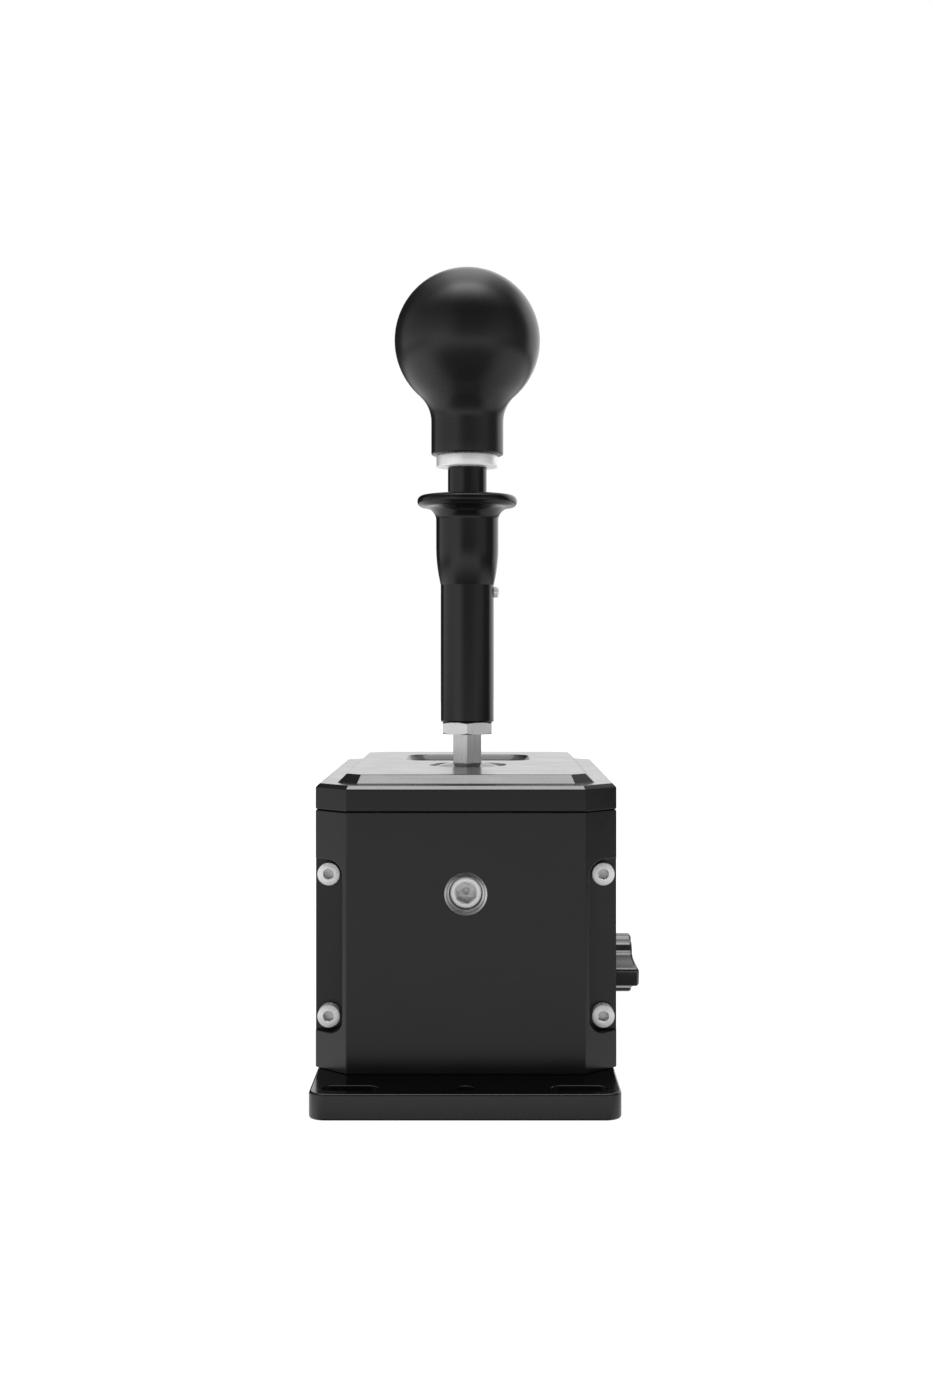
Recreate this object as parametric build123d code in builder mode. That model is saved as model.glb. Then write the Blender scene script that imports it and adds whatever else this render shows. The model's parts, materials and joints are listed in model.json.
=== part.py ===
from build123d import *
import os
from math import asin, cos, radians, sin, sqrt

# Sim racing gear shifter: a box housing on a slotted base, with a gimballed lever,
# a ball knob, a reverse lift collar and a mode dial on the right side.
# Millimetres. X points right, Y away from the driver's end, Z up. The origin is the
# centre of the base plate's underside.

os.makedirs("parts", exist_ok=True)

# Shared allowances
overrun = 1.0
running_gap = 0.05
seat_gap = 0.3
screw_gap = 0.2
edge_break = 0.4

# Housing
housing_half_width = 47.2
housing_half_depth = 70.7
corner_cut = 10.3
housing_height = 80.6
cover_thickness = 18.0
wall_thickness_share = 0.19

# Base plate
base_side_step = 0.7
base_overhang = 23.5
base_thickness = 8.0
base_corner_radius = 5.0
base_edge_chamfer = 0.7
slot_length = 17.0
slot_width = 6.4
slot_side_inset = 12.3
slot_inset = 7.2
centre_hole_diameter = 5.5

# Lid
rim_height = 8.4
rim_bevel = 1.25
rim_width = 6.7
plateau_rise = 2.8
lever_hole_radius = 13.2
window_width = 44.0
window_depth = 36.1
window_front_y = 6.9
window_corner_radius = 6.8
window_sink = 3.0

# Cover screws and their corner pockets
cover_screw_inset = 4.3
cover_screw_mid_share = 0.479
cover_screw_spacing_share = 0.551
cover_screw_head_radius = 3.55
cover_screw_head_height = 4.0
cover_screw_radius = 2.0
cover_screw_length = 17.0
cover_socket_across = 3.1
pocket_radius = 4.8
pocket_depth = 11.5

# Tie screws that clamp base, covers and lid
tie_screw_setback = 12.9
tie_screw_radius = 2.0
tie_head_radius = 3.5
tie_head_height = 4.0
tie_head_sink = 0.4
tie_grip_in_lid = 6.0

# Base screws
base_screw_radius = 1.5
base_screw_length = 14.0
base_screw_head_radius = 2.75
base_screw_head_height = 3.0
base_screw_wall_inset = 3.0
base_screw_wall_y = 30.0
base_screw_block_x = 20.0
base_socket_across = 2.5

# Pivots
pivot_drop = 25.0
lever_y = -14.2
pivot_bearing_radius = 9.5
pivot_bearing_width = 6.0
pivot_land_radius = 4.6
pivot_bolt_radius = 3.0
pivot_shoulder_radius = 4.0
pivot_head_radius = 4.96
pivot_head_height = 6.0
pivot_head_sink = 3.0
pivot_head_edge = 0.5
pivot_socket_across = 6.2
pivot_socket_depth = 4.6
pivot_socket_turn_deg = 38.0
pivot_dimple_radius = 1.2
pivot_dimple_depth = 0.8
pivot_thread_in_frame = 12.0
pivot_ring_radius = 6.7
pivot_ring_bore = 5.55
pivot_ring_cone_width = 0.9
pivot_ring_cone_depth = 3.5
rear_head_clearance = 1.1

# Gimbal frame
frame_half_width = 24.0
frame_half_depth = 22.0
frame_half_height = 8.0
frame_cheek = 9.0
frame_bar = 8.0
frame_corner_radius = 3.0
frame_leg_drop = 15.6
frame_leg_half_depth = 6.0
frame_boss_radius = 7.0
frame_nose_length = 0.6

# Cross shaft, its bearings and spacers
cross_shaft_radius = 3.0
cross_shaft_proud = 0.5
cross_bearing_radius = 6.5
cross_bearing_width = 5.0
cross_land_radius = 4.15
cross_lip_radius = 5.2

# Bearing block behind the gimbal
block_thickness = 12.0
block_foot_width = 56.0
block_foot_height = 9.0
block_eye_radius = 15.0

# Centring springs
centring_drop = 18.6
centring_coil_radius = 4.4
centring_wire_radius = 0.6
centring_turns = 5
centring_seat_depth = 2.0
centring_seat_radius = 5.4

# Lever
lever_hex_across = 9.5
hub_half_width = 8.0
hub_drop = 12.0
hub_shoulder = 12.0
hub_neck_top = 22.4
hub_edge = 0.8
rod_foot_drop = 7.0
rod_show = 10.5
rod_stud_radius = 4.0
rod_stud_length = 25.0
jam_nut_across = 16.56
jam_nut_height = 4.0
jam_nut_bevel = 0.55
upper_rod_radius = 6.6
upper_rod_stud_radius = 5.0
upper_rod_stud_length = 26.0

# Dust dome under the lid's lever hole
dome_radius = 37.3
dome_wall = 1.6
dome_half_angle = 40.0
dome_boss_radius = 9.0

# Plunger and detent bowl
plunger_tube_radius = 7.0
plunger_show = 6.4
plunger_spigot_length = 5.0
plunger_radius = 4.45
plunger_top_room = 14.0
plunger_room_top = 5.6
plunger_spring_coil_radius = 3.1
plunger_spring_wire_radius = 0.45
plunger_spring_turns = 6
bowl_half_width = 23.0
bowl_height = 13.2
bowl_floor = 9.6
bowl_dimple_radius = 3.2
bowl_dimple_depth = 0.9
bowl_screw_offset = 18.5
bowl_screw_radius = 1.5
bowl_head_radius = 2.75
bowl_head_height = 3.0
bowl_screw_length = 15.0

# Lever travel that the housing and the bowl are cut for
lever_travel_deg = 8.0
collar_travel = 8.0

# Lift collar
collar_length = 77.0
sleeve_radius = 9.05
sleeve_straight_share = 0.604
sleeve_foot_bevel = 0.6
taper_share = 0.171
grip_radius = 10.6
flange_radius = 17.0
flange_thickness = 4.2
spring_room_radius = 8.2
spring_room_length = 25.0
sleeve_bush_length = 4.5
sleeve_bush_sink = 0.5
guide_screw_drop = 2.4
guide_head_radius = 1.85
guide_head_proud = 1.75
guide_tip_radius = 1.45
guide_tip_depth = 1.8
guide_slot_side_gap = 0.1
guide_slot_floor_gap = 0.2
collar_spring_coil_radius = 7.4
collar_spring_wire_radius = 0.4
collar_spring_turns = 6
snap_ring_thickness = 1.0
snap_ring_radius = 7.9
snap_groove_depth = 0.6
snap_ring_gap_width = 3.0
snap_ring_drop = 2.2

# Knob
knob_ring_radius = 10.5
knob_ring_height = 4.1
knob_ring_clearance = 1.4
knob_ring_bevel = 0.4
knob_ball_radius = 24.7
knob_ball_rise = 39.0
knob_neck_radius = 12.25
knob_neck_blend = 12.0
knob_foot_round = 0.8
knob_insert_radius = 8.0
knob_insert_length = 27.0

# Mode dial
dial_y = 0.0
dial_z = 30.1
dial_radius = 10.1
dial_thickness = 9.4
dial_flute_count = 12
dial_flute_radius = 1.7
dial_flute_depth = 0.7
dial_rim_round = 0.9
dial_pointer_width = 5.7
dial_pointer_reach = 11.2
dial_pointer_proud = 2.3
dial_pointer_droop_deg = 17.0
dial_pointer_round = 0.8
dial_shaft_radius = 3.0
dial_shaft_in_knob = 7.0
dial_shaft_inside = 8.0
switch_body_width = 17.0
switch_body_depth = 10.0
switch_front_width = 15.0
switch_body_bevel = 0.9
switch_collar_radius = 4.5
switch_wall_gap = 4.0
switch_nut_across = 12.0
switch_nut_height = 2.5
switch_recess_radius = 7.6
switch_recess_depth = 3.5

# Boards
board_thickness = 1.6
board_room_tie_gap = 6.0
board_foot_gap = 10.0
board_head_gap = 10.6
board_side_gap = 2.0
board_room_margin = 4.0
board_room_depth = 10.0
board_standoff_height = 5.1
board_standoff_radius = 2.5
board_hole_inset = 4.0
board_screw_radius = 1.25
board_screw_head_radius = 2.2
board_screw_head_height = 1.5
board_chip_width = 9.0
board_chip_height = 1.2
sensor_board_width = 26.0
sensor_board_height = 14.0
sensor_chip_width = 4.0
sensor_chip_height = 1.0
sensor_air_gap = 0.8
sensor_pillar_radius = 2.2
magnet_thickness = 2.5
select_magnet_radius = 4.0
shift_magnet_radius = 3.0

# Data socket in the rear cover
socket_z = 30.0
socket_width = 8.94
socket_height = 3.16
socket_wall = 0.3
socket_tongue_width = 6.7
socket_tongue_thickness = 0.7
socket_tongue_setback = 0.8
socket_recess_width = 14.0
socket_recess_height = 8.0
socket_recess_depth = 4.5
socket_recess_radius = 2.0

# Worked-out heights and places
housing_bottom = base_thickness
housing_top = housing_bottom + housing_height
rim_top = housing_top + rim_height
plateau_top = rim_top + plateau_rise
base_width = 2 * (housing_half_width - base_side_step)
slot_spacing = base_width - 2 * slot_side_inset
cover_screw_mid_z = housing_bottom + housing_height * cover_screw_mid_share
cover_screw_spacing = housing_height * cover_screw_spacing_share
pivot_height = housing_top - pivot_drop
plunger_reach = pivot_height - base_thickness - bowl_floor
plunger_tube_length = plunger_reach - hub_drop - plunger_show
plunger_length = plunger_reach - hub_drop - plunger_top_room
board_bottom_z = housing_bottom + board_foot_gap
board_height = housing_height - board_foot_gap - board_head_gap
rod_top_z = plateau_top + rod_show
front_flat_half_width = housing_half_width - corner_cut
wall_thickness = housing_half_width * wall_thickness_share
wall_inner_x = housing_half_width - wall_thickness
wall_half_length = housing_half_depth - cover_thickness
cover_middle_y = housing_half_depth - cover_thickness / 2
wall_middle_x = housing_half_width - wall_thickness / 2
base_length = 2 * (housing_half_depth + base_overhang)
slot_row_y = base_length / 2 - slot_inset
pivot_bearing_front_y = -wall_half_length - pivot_bearing_width
frame_front_y = lever_y - frame_half_depth
frame_rear_y = lever_y + frame_half_depth
frame_boss_length = frame_front_y + wall_half_length
block_front_y = frame_rear_y + frame_boss_length
block_rear_y = block_front_y + block_thickness
block_middle_y = block_front_y + block_thickness / 2
front_head_y = -housing_half_depth + pivot_head_sink + pivot_head_height
front_shoulder_length = pivot_bearing_front_y - front_head_y
rear_shoulder_length = block_thickness - pivot_bearing_width + rear_head_clearance
cover_screw_x = housing_half_width - cover_screw_inset
tie_screw_x = cover_screw_x - tie_screw_setback
board_room_width = 2 * (tie_screw_x - board_room_tie_gap)
board_width = board_room_width - 2 * board_side_gap
jam_nut_top = rod_top_z + jam_nut_height
sleeve_bottom = jam_nut_top
taper_bottom = sleeve_bottom + collar_length * sleeve_straight_share
grip_bottom = taper_bottom + collar_length * taper_share
flange_top_z = sleeve_bottom + collar_length
guide_screw_z = taper_bottom - guide_screw_drop
knob_ring_bottom_z = flange_top_z + collar_travel + knob_ring_clearance
knob_bottom = knob_ring_bottom_z + knob_ring_height
knob_ball_z = knob_bottom + knob_ball_rise
lever_axis = Axis((0, lever_y, 0), (0, 0, 1))
flat_turn_deg = 30.0
upright_turn_deg = 90.0
facet_angle_deg = 45.0


def lever_plane(height):
    """Level plane centred on the lever at a height."""
    return Plane(origin=(0, lever_y, height), z_dir=(0, 0, 1))


def front_plane(y, x=0, z=0):
    """Upright plane whose normal points to the front."""
    return Plane(origin=(x, y, z), x_dir=(1, 0, 0), z_dir=(0, -1, 0))


def rear_plane(y, x=0, z=0):
    """Upright plane whose normal points to the rear."""
    return Plane(origin=(x, y, z), x_dir=(-1, 0, 0), z_dir=(0, 1, 0))


def side_plane(side, x, y=0, z=0):
    """Upright plane whose normal points out of the left or right side."""
    return Plane(origin=(side * x, y, z), x_dir=(0, side, 0), z_dir=(side, 0, 0))


def rod(plane, start, length, radius, mode=Mode.ADD):
    """Round bar on a plane's axis, from start over a length."""
    with BuildSketch(plane.offset(start)) as section:
        Circle(radius)
    extrude(section.sketch, amount=length, mode=mode)


def hex_bar(plane, start, length, across, turn=0, mode=Mode.ADD):
    """Hexagon bar on a plane's axis, measured across flats."""
    with BuildSketch(plane.offset(start)) as section:
        RegularPolygon(across / 2, 6, major_radius=False, rotation=turn)
    extrude(section.sketch, amount=length, mode=mode)


def block(plane, width, height, length, radius=0, mode=Mode.ADD):
    """Bar with a rectangular or rounded section, standing on a plane."""
    with BuildSketch(plane) as section:
        if radius:
            RectangleRounded(width, height, radius)
        else:
            Rectangle(width, height)
    extrude(section.sketch, amount=length, mode=mode)


def socket_screw(plane, radius, length, head_radius, head_height, socket_across):
    """Socket head screw with the head's seat on a plane and the shank behind it."""
    rod(plane, -length, length, radius)
    rod(plane, 0, head_height, head_radius)
    socket_depth = head_height / 2
    hex_bar(
        plane, head_height - socket_depth, socket_depth, socket_across,
        turn=upright_turn_deg, mode=Mode.SUBTRACT,
    )


def coil(start, direction, length, turns, coil_radius, wire_radius):
    """Compression spring: one open helix of round wire."""
    rise = length - 2 * wire_radius
    base = Plane(origin=start, z_dir=direction)
    foot = base.offset(wire_radius)
    with BuildPart() as spring:
        with BuildLine() as route:
            Helix(rise / turns, rise, coil_radius, center=foot.origin, direction=direction)
        with BuildSketch(Plane(origin=route.line @ 0, z_dir=route.line % 0)):
            Circle(wire_radius)
        sweep(is_frenet=True)
    return spring.part


def finish(piece, name):
    """Label a piece and write its file."""
    piece.label = name
    export_step(piece, f"parts/{name}.step")


# Base plate with four mounting slots, two centre holes and counterbored screw holes
tie_screw_places = [
    (side_x * tie_screw_x, side_y * cover_middle_y)
    for side_x in (-1, 1)
    for side_y in (-1, 1)
]
base_screw_places = [
    (side_x * (wall_inner_x + base_screw_wall_inset), side_y * base_screw_wall_y)
    for side_x in (-1, 1)
    for side_y in (-1, 1)
] + [(side_x * base_screw_block_x, block_middle_y) for side_x in (-1, 1)]
bowl_screw_places = [
    (side_x * bowl_screw_offset, lever_y + side_y * bowl_screw_offset)
    for side_x in (-1, 1)
    for side_y in (-1, 1)
]
head_room = tie_head_height + tie_head_sink
base_head_room = base_screw_head_height + tie_head_sink
bowl_screw_foot_z = base_thickness + bowl_height - edge_break - bowl_head_height - bowl_screw_length

with BuildPart() as base_plate:
    with BuildSketch():
        RectangleRounded(base_width, base_length, base_corner_radius)
    extrude(amount=base_thickness)
    rims = base_plate.faces().filter_by(Axis.Z).edges()
    chamfer(rims, length=base_edge_chamfer)
    with BuildSketch():
        with GridLocations(slot_spacing, 2 * slot_row_y, 2, 2):
            SlotOverall(slot_length, slot_width)
        with GridLocations(0, 2 * slot_row_y, 1, 2):
            Circle(centre_hole_diameter / 2)
    extrude(amount=base_thickness, mode=Mode.SUBTRACT)
    slot_rims = (
        base_plate.faces().sort_by(Axis.Z)[-1].inner_wires().edges()
    )
    chamfer(slot_rims, length=edge_break)
    for place in tie_screw_places:
        foot = Plane(origin=(place[0], place[1], 0))
        rod(foot, 0, base_thickness, tie_screw_radius + screw_gap, Mode.SUBTRACT)
        rod(foot, 0, head_room, tie_head_radius + screw_gap, Mode.SUBTRACT)
    for place in base_screw_places:
        foot = Plane(origin=(place[0], place[1], 0))
        rod(foot, 0, base_thickness, base_screw_radius + screw_gap, Mode.SUBTRACT)
        rod(foot, 0, base_head_room, base_screw_head_radius + screw_gap, Mode.SUBTRACT)
    for place in bowl_screw_places:
        hole = Plane(origin=(place[0], place[1], bowl_screw_foot_z))
        rod(hole, 0, base_thickness, bowl_screw_radius, Mode.SUBTRACT)
finish(base_plate.part, "base_plate")


# Covers: thick end plates whose cut corners carry a pocket for two screws
def end_cover(side):
    """Cover at the front (side -1) or the rear (side 1)."""
    outer_y = side * housing_half_depth
    corner_y = side * (housing_half_depth - corner_cut)
    inner_y = side * wall_half_length
    outward_plane = rear_plane if side > 0 else front_plane
    with BuildPart() as cover:
        with BuildSketch(Plane.XY.offset(housing_bottom)):
            with BuildLine():
                Polyline(
                    (-housing_half_width, inner_y),
                    (-housing_half_width, corner_y),
                    (-front_flat_half_width, outer_y),
                    (front_flat_half_width, outer_y),
                    (housing_half_width, corner_y),
                    (housing_half_width, inner_y),
                    close=True,
                )
            make_face()
        extrude(amount=housing_height)
        outer_face = cover.faces().sort_by(Axis.Y)[-1 if side > 0 else 0]
        chamfer(outer_face.edges(), length=edge_break)
        pocket_height = cover_screw_spacing + 2 * pocket_radius
        open_width = housing_half_width - cover_screw_x + overrun
        for x_side in (-1, 1):
            centre = outward_plane(outer_y, x_side * cover_screw_x, cover_screw_mid_z)
            out = x_side * centre.x_dir.X
            with BuildSketch(centre) as pocket:
                SlotOverall(pocket_height, 2 * pocket_radius, rotation=upright_turn_deg)
                with Locations((out * open_width / 2, 0)):
                    Rectangle(open_width, pocket_height)
            extrude(pocket.sketch, amount=-pocket_depth, mode=Mode.SUBTRACT)
            for z_side in (-1, 1):
                hole = outward_plane(
                    outer_y, x_side * cover_screw_x,
                    cover_screw_mid_z + z_side * cover_screw_spacing / 2,
                )
                rod(
                    hole, -cover_thickness, cover_thickness,
                    cover_screw_radius + screw_gap, Mode.SUBTRACT,
                )
        for place in tie_screw_places:
            if side * place[1] > 0:
                hole = Plane(origin=(place[0], place[1], housing_bottom))
                rod(
                    hole, 0, housing_height, tie_screw_radius + screw_gap,
                    Mode.SUBTRACT,
                )
    return cover


front_cover = end_cover(-1)
pivot_front = front_plane(-housing_half_depth, z=pivot_height)
pivot_ring_length = pivot_head_sink + pivot_head_height + seat_gap
with BuildPart() as front_cover_bored:
    add(front_cover.part)
    rod(pivot_front, -pivot_ring_length, pivot_ring_length, pivot_ring_radius, Mode.SUBTRACT)
    rod(
        pivot_front, -cover_thickness, cover_thickness,
        pivot_shoulder_radius + screw_gap, Mode.SUBTRACT,
    )
    rod(
        pivot_front, -cover_thickness, pivot_bearing_width, pivot_bearing_radius,
        Mode.SUBTRACT,
    )
finish(front_cover_bored.part, "front_cover")

rear_cover = end_cover(1)
board_room_floor_y = wall_half_length + board_room_depth
socket_recess_floor_y = housing_half_depth - socket_recess_depth
with BuildPart() as rear_cover_bored:
    add(rear_cover.part)
    room_middle = front_plane(wall_half_length, z=board_bottom_z + board_height / 2)
    block(
        room_middle, board_room_width, board_height + 2 * board_room_margin,
        -board_room_depth, board_room_margin, Mode.SUBTRACT,
    )
    recess = rear_plane(housing_half_depth, z=socket_z)
    block(
        recess, socket_recess_width, socket_recess_height, -socket_recess_depth,
        socket_recess_radius, Mode.SUBTRACT,
    )
    with BuildSketch(recess) as socket_hole:
        SlotOverall(socket_width + screw_gap, socket_height + screw_gap)
    extrude(
        socket_hole.sketch, amount=-(housing_half_depth - board_room_floor_y),
        mode=Mode.SUBTRACT,
    )
    for x_side in (-1, 1):
        for z_side in (-1, 1):
            hole = front_plane(
                board_room_floor_y,
                x=x_side * (board_width / 2 - board_hole_inset),
                z=board_bottom_z + board_height / 2
                + z_side * (board_height / 2 - board_hole_inset),
            )
            rod(
                hole, -board_standoff_height, board_standoff_height, board_screw_radius,
                Mode.SUBTRACT,
            )
finish(rear_cover_bored.part, "rear_cover")


# Side walls between the covers
def side_wall(side):
    """Wall on the left (side -1) or right (side 1)."""
    with BuildPart() as wall:
        with BuildSketch(Plane.XY.offset(housing_bottom)):
            with Locations((side * wall_middle_x, 0)):
                Rectangle(wall_thickness, 2 * wall_half_length)
        extrude(amount=housing_height)
        outer = wall.faces().filter_by(Axis.X).sort_by(Axis.X)[-1 if side > 0 else 0]
        chamfer(outer.edges().filter_by(Axis.Y), length=edge_break)
        tap_depth = cover_screw_length - cover_thickness + pocket_depth
        for y_side in (-1, 1):
            for z_side in (-1, 1):
                tapped = Plane(
                    origin=(
                        side * cover_screw_x,
                        y_side * wall_half_length,
                        cover_screw_mid_z + z_side * cover_screw_spacing / 2,
                    ),
                    z_dir=(0, y_side, 0),
                )
                rod(tapped, -tap_depth, tap_depth, cover_screw_radius, Mode.SUBTRACT)
        for place in base_screw_places:
            if side * place[0] > wall_inner_x:
                tapped = Plane(origin=(place[0], place[1], housing_bottom))
                tap_height = base_screw_length - base_thickness + base_head_room
                rod(tapped, 0, tap_height, base_screw_radius, Mode.SUBTRACT)
        seat = side_plane(side, wall_inner_x, lever_y, pivot_height - centring_drop)
        rod(seat, 0, centring_seat_depth, centring_seat_radius, Mode.SUBTRACT)
    return wall


left_wall = side_wall(-1)
finish(left_wall.part, "left_wall")

right_wall = side_wall(1)
dial_plane = side_plane(1, housing_half_width, dial_y, dial_z)
with BuildPart() as right_wall_bored:
    add(right_wall.part)
    rod(dial_plane, -wall_thickness, wall_thickness, switch_collar_radius, Mode.SUBTRACT)
    rod(dial_plane, -switch_recess_depth, switch_recess_depth, switch_recess_radius, Mode.SUBTRACT)
finish(right_wall_bored.part, "right_wall")


# Lid: bevelled rim, raised plateau, lever hole over a round pocket, shallow window
lid_outline = [
    (-housing_half_width, -housing_half_depth + corner_cut),
    (-front_flat_half_width, -housing_half_depth),
    (front_flat_half_width, -housing_half_depth),
    (housing_half_width, -housing_half_depth + corner_cut),
    (housing_half_width, housing_half_depth - corner_cut),
    (front_flat_half_width, housing_half_depth),
    (-front_flat_half_width, housing_half_depth),
    (-housing_half_width, housing_half_depth - corner_cut),
]
with BuildPart() as lid:
    with BuildSketch(Plane.XY.offset(housing_top)):
        with BuildLine():
            Polyline(*lid_outline, close=True)
        make_face()
    extrude(amount=rim_height)
    chamfer(lid.faces().sort_by(Axis.Z)[-1].edges(), length=rim_bevel)
    chamfer(lid.faces().sort_by(Axis.Z)[0].edges(), length=edge_break)
    with BuildSketch(Plane.XY.offset(rim_top)):
        with BuildLine():
            Polyline(*lid_outline, close=True)
        make_face()
        offset(amount=-rim_width, kind=Kind.INTERSECTION)
    extrude(amount=plateau_rise, taper=facet_angle_deg)
    rod(lever_plane(housing_top), 0, plateau_top - housing_top, lever_hole_radius, Mode.SUBTRACT)
    with Locations((0, lever_y, pivot_height)):
        Sphere(dome_radius + seat_gap, mode=Mode.SUBTRACT)
    with BuildSketch(Plane.XY.offset(plateau_top)):
        with Locations((0, window_front_y + window_depth / 2)):
            RectangleRounded(window_width, window_depth, window_corner_radius)
    extrude(amount=-window_sink, taper=facet_angle_deg, mode=Mode.SUBTRACT)
    openings = lid.faces().filter_by(Axis.Z).sort_by(Axis.Z)[-1].inner_wires().edges()
    chamfer(openings, length=edge_break)
    for place in tie_screw_places:
        tapped = Plane(origin=(place[0], place[1], housing_top))
        rod(tapped, 0, tie_grip_in_lid, tie_screw_radius, Mode.SUBTRACT)
finish(lid.part, "lid")


# Screws of the covers, four at each end
def cover_screw_group(side):
    """Four screws whose heads seat on the pocket floors."""
    seat_y = side * (housing_half_depth - pocket_depth)
    make_plane = rear_plane if side > 0 else front_plane
    with BuildPart() as screws:
        for x_side in (-1, 1):
            for z_side in (-1, 1):
                socket_screw(
                    make_plane(
                        seat_y, x_side * cover_screw_x,
                        cover_screw_mid_z + z_side * cover_screw_spacing / 2,
                    ),
                    cover_screw_radius, cover_screw_length, cover_screw_head_radius,
                    cover_screw_head_height, cover_socket_across,
                )
    return screws


finish(cover_screw_group(-1).part, "front_cover_screws")
finish(cover_screw_group(1).part, "rear_cover_screws")

# Long screws from the base up into the lid
tie_screw_length = housing_top + tie_grip_in_lid - head_room
with BuildPart() as lid_screws:
    for place in tie_screw_places:
        seat = Plane(origin=(place[0], place[1], head_room), z_dir=(0, 0, -1))
        socket_screw(
            seat, tie_screw_radius, tie_screw_length, tie_head_radius,
            tie_head_height, cover_socket_across,
        )
finish(lid_screws.part, "lid_screws")

with BuildPart() as base_screws:
    for place in base_screw_places:
        seat = Plane(origin=(place[0], place[1], base_head_room), z_dir=(0, 0, -1))
        socket_screw(
            seat, base_screw_radius, base_screw_length, base_screw_head_radius,
            base_screw_head_height, base_socket_across,
        )
finish(base_screws.part, "base_screws")

# Steel ring that lines the front pivot's bore
with BuildPart() as pivot_ring:
    rod(pivot_front, -pivot_ring_length, pivot_ring_length, pivot_ring_radius)
    rod(pivot_front, -pivot_ring_length, pivot_ring_length, pivot_ring_bore, Mode.SUBTRACT)
    with BuildSketch(Plane(origin=(0, 0, pivot_height), x_dir=(1, 0, 0), z_dir=(0, 0, 1))):
        with BuildLine():
            cone_mouth = pivot_ring_bore + pivot_ring_cone_width
            Polyline(
                (0, -housing_half_depth), (cone_mouth, -housing_half_depth),
                (pivot_ring_bore, -housing_half_depth + pivot_ring_cone_depth),
                (0, -housing_half_depth + pivot_ring_cone_depth),
                close=True,
            )
        make_face()
    revolve(axis=Axis((0, 0, pivot_height), (0, 1, 0)), mode=Mode.SUBTRACT)
finish(pivot_ring.part, "pivot_ring")


# Sealed bearings: an outer ring with its seals, and an inner ring
def bearing_outer(plane, start, width, radius, land_radius):
    """Outer ring of a bearing, seals included."""
    rod(plane, start, width, radius)
    rod(plane, start, width, land_radius + running_gap, Mode.SUBTRACT)


def bearing_inner(plane, start, width, bore_radius, land_radius):
    """Inner ring of a bearing."""
    rod(plane, start, width, land_radius)
    rod(plane, start, width, bore_radius, Mode.SUBTRACT)


pivot_rear = rear_plane(block_front_y, z=pivot_height)
with BuildPart() as pivot_bearing_outers:
    bearing_outer(
        pivot_front, -cover_thickness, pivot_bearing_width, pivot_bearing_radius,
        pivot_land_radius,
    )
    bearing_outer(
        pivot_rear, 0, pivot_bearing_width, pivot_bearing_radius, pivot_land_radius
    )
finish(pivot_bearing_outers.part, "pivot_bearing_outers")

with BuildPart() as front_inner_ring:
    bearing_inner(
        pivot_front, -cover_thickness, pivot_bearing_width, pivot_bolt_radius,
        pivot_land_radius,
    )
with BuildPart() as rear_inner_ring:
    bearing_inner(
        pivot_rear, 0, pivot_bearing_width, pivot_bolt_radius, pivot_land_radius
    )
finish(
    Compound(children=[front_inner_ring.part, rear_inner_ring.part]),
    "pivot_bearing_inners",
)

# Block that carries the rear pivot, standing on the base
with BuildPart() as bearing_block:
    with BuildSketch(rear_plane(block_front_y)) as outline:
        with Locations((0, pivot_height)):
            Circle(block_eye_radius)
        with Locations((0, housing_bottom + block_foot_height / 2)):
            Rectangle(block_foot_width, block_foot_height)
        make_hull()
    extrude(outline.sketch, amount=block_thickness)
    rod(pivot_rear, 0, pivot_bearing_width, pivot_bearing_radius, Mode.SUBTRACT)
    rod(pivot_rear, 0, block_thickness, pivot_shoulder_radius + screw_gap, Mode.SUBTRACT)
    for x_side in (-1, 1):
        tapped = Plane(origin=(x_side * base_screw_block_x, block_middle_y, housing_bottom))
        tap_height = base_screw_length - base_thickness + base_head_room
        rod(tapped, 0, tap_height, base_screw_radius, Mode.SUBTRACT)
finish(bearing_block.part, "bearing_block")


# Shoulder bolts of the tilt pivot, one from each end
def pivot_bolt(head_seat, shoulder_length):
    """Shoulder bolt with the head's seat on a plane."""
    shank_length = pivot_bearing_width + pivot_thread_in_frame
    socket_floor = pivot_head_height - pivot_socket_depth
    with BuildPart() as bolt:
        rod(head_seat, 0, pivot_head_height, pivot_head_radius)
        top = bolt.faces().sort_by(Axis(head_seat.origin, head_seat.z_dir))[-1]
        fillet(top.edges(), radius=pivot_head_edge)
        rod(head_seat, -shoulder_length, shoulder_length, pivot_shoulder_radius)
        rod(head_seat, -shoulder_length - shank_length, shank_length, pivot_bolt_radius)
        hex_bar(
            head_seat, socket_floor, pivot_socket_depth, pivot_socket_across,
            turn=pivot_socket_turn_deg, mode=Mode.SUBTRACT,
        )
        rod(
            head_seat, socket_floor - pivot_dimple_depth, pivot_dimple_depth,
            pivot_dimple_radius, Mode.SUBTRACT,
        )
    return bolt


front_bolt = pivot_bolt(front_plane(front_head_y, z=pivot_height), front_shoulder_length)
finish(front_bolt.part, "front_pivot_bolt")
rear_head_y = block_front_y + pivot_bearing_width + rear_shoulder_length
rear_bolt = pivot_bolt(rear_plane(rear_head_y, z=pivot_height), rear_shoulder_length)
finish(rear_bolt.part, "rear_pivot_bolt")

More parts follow.
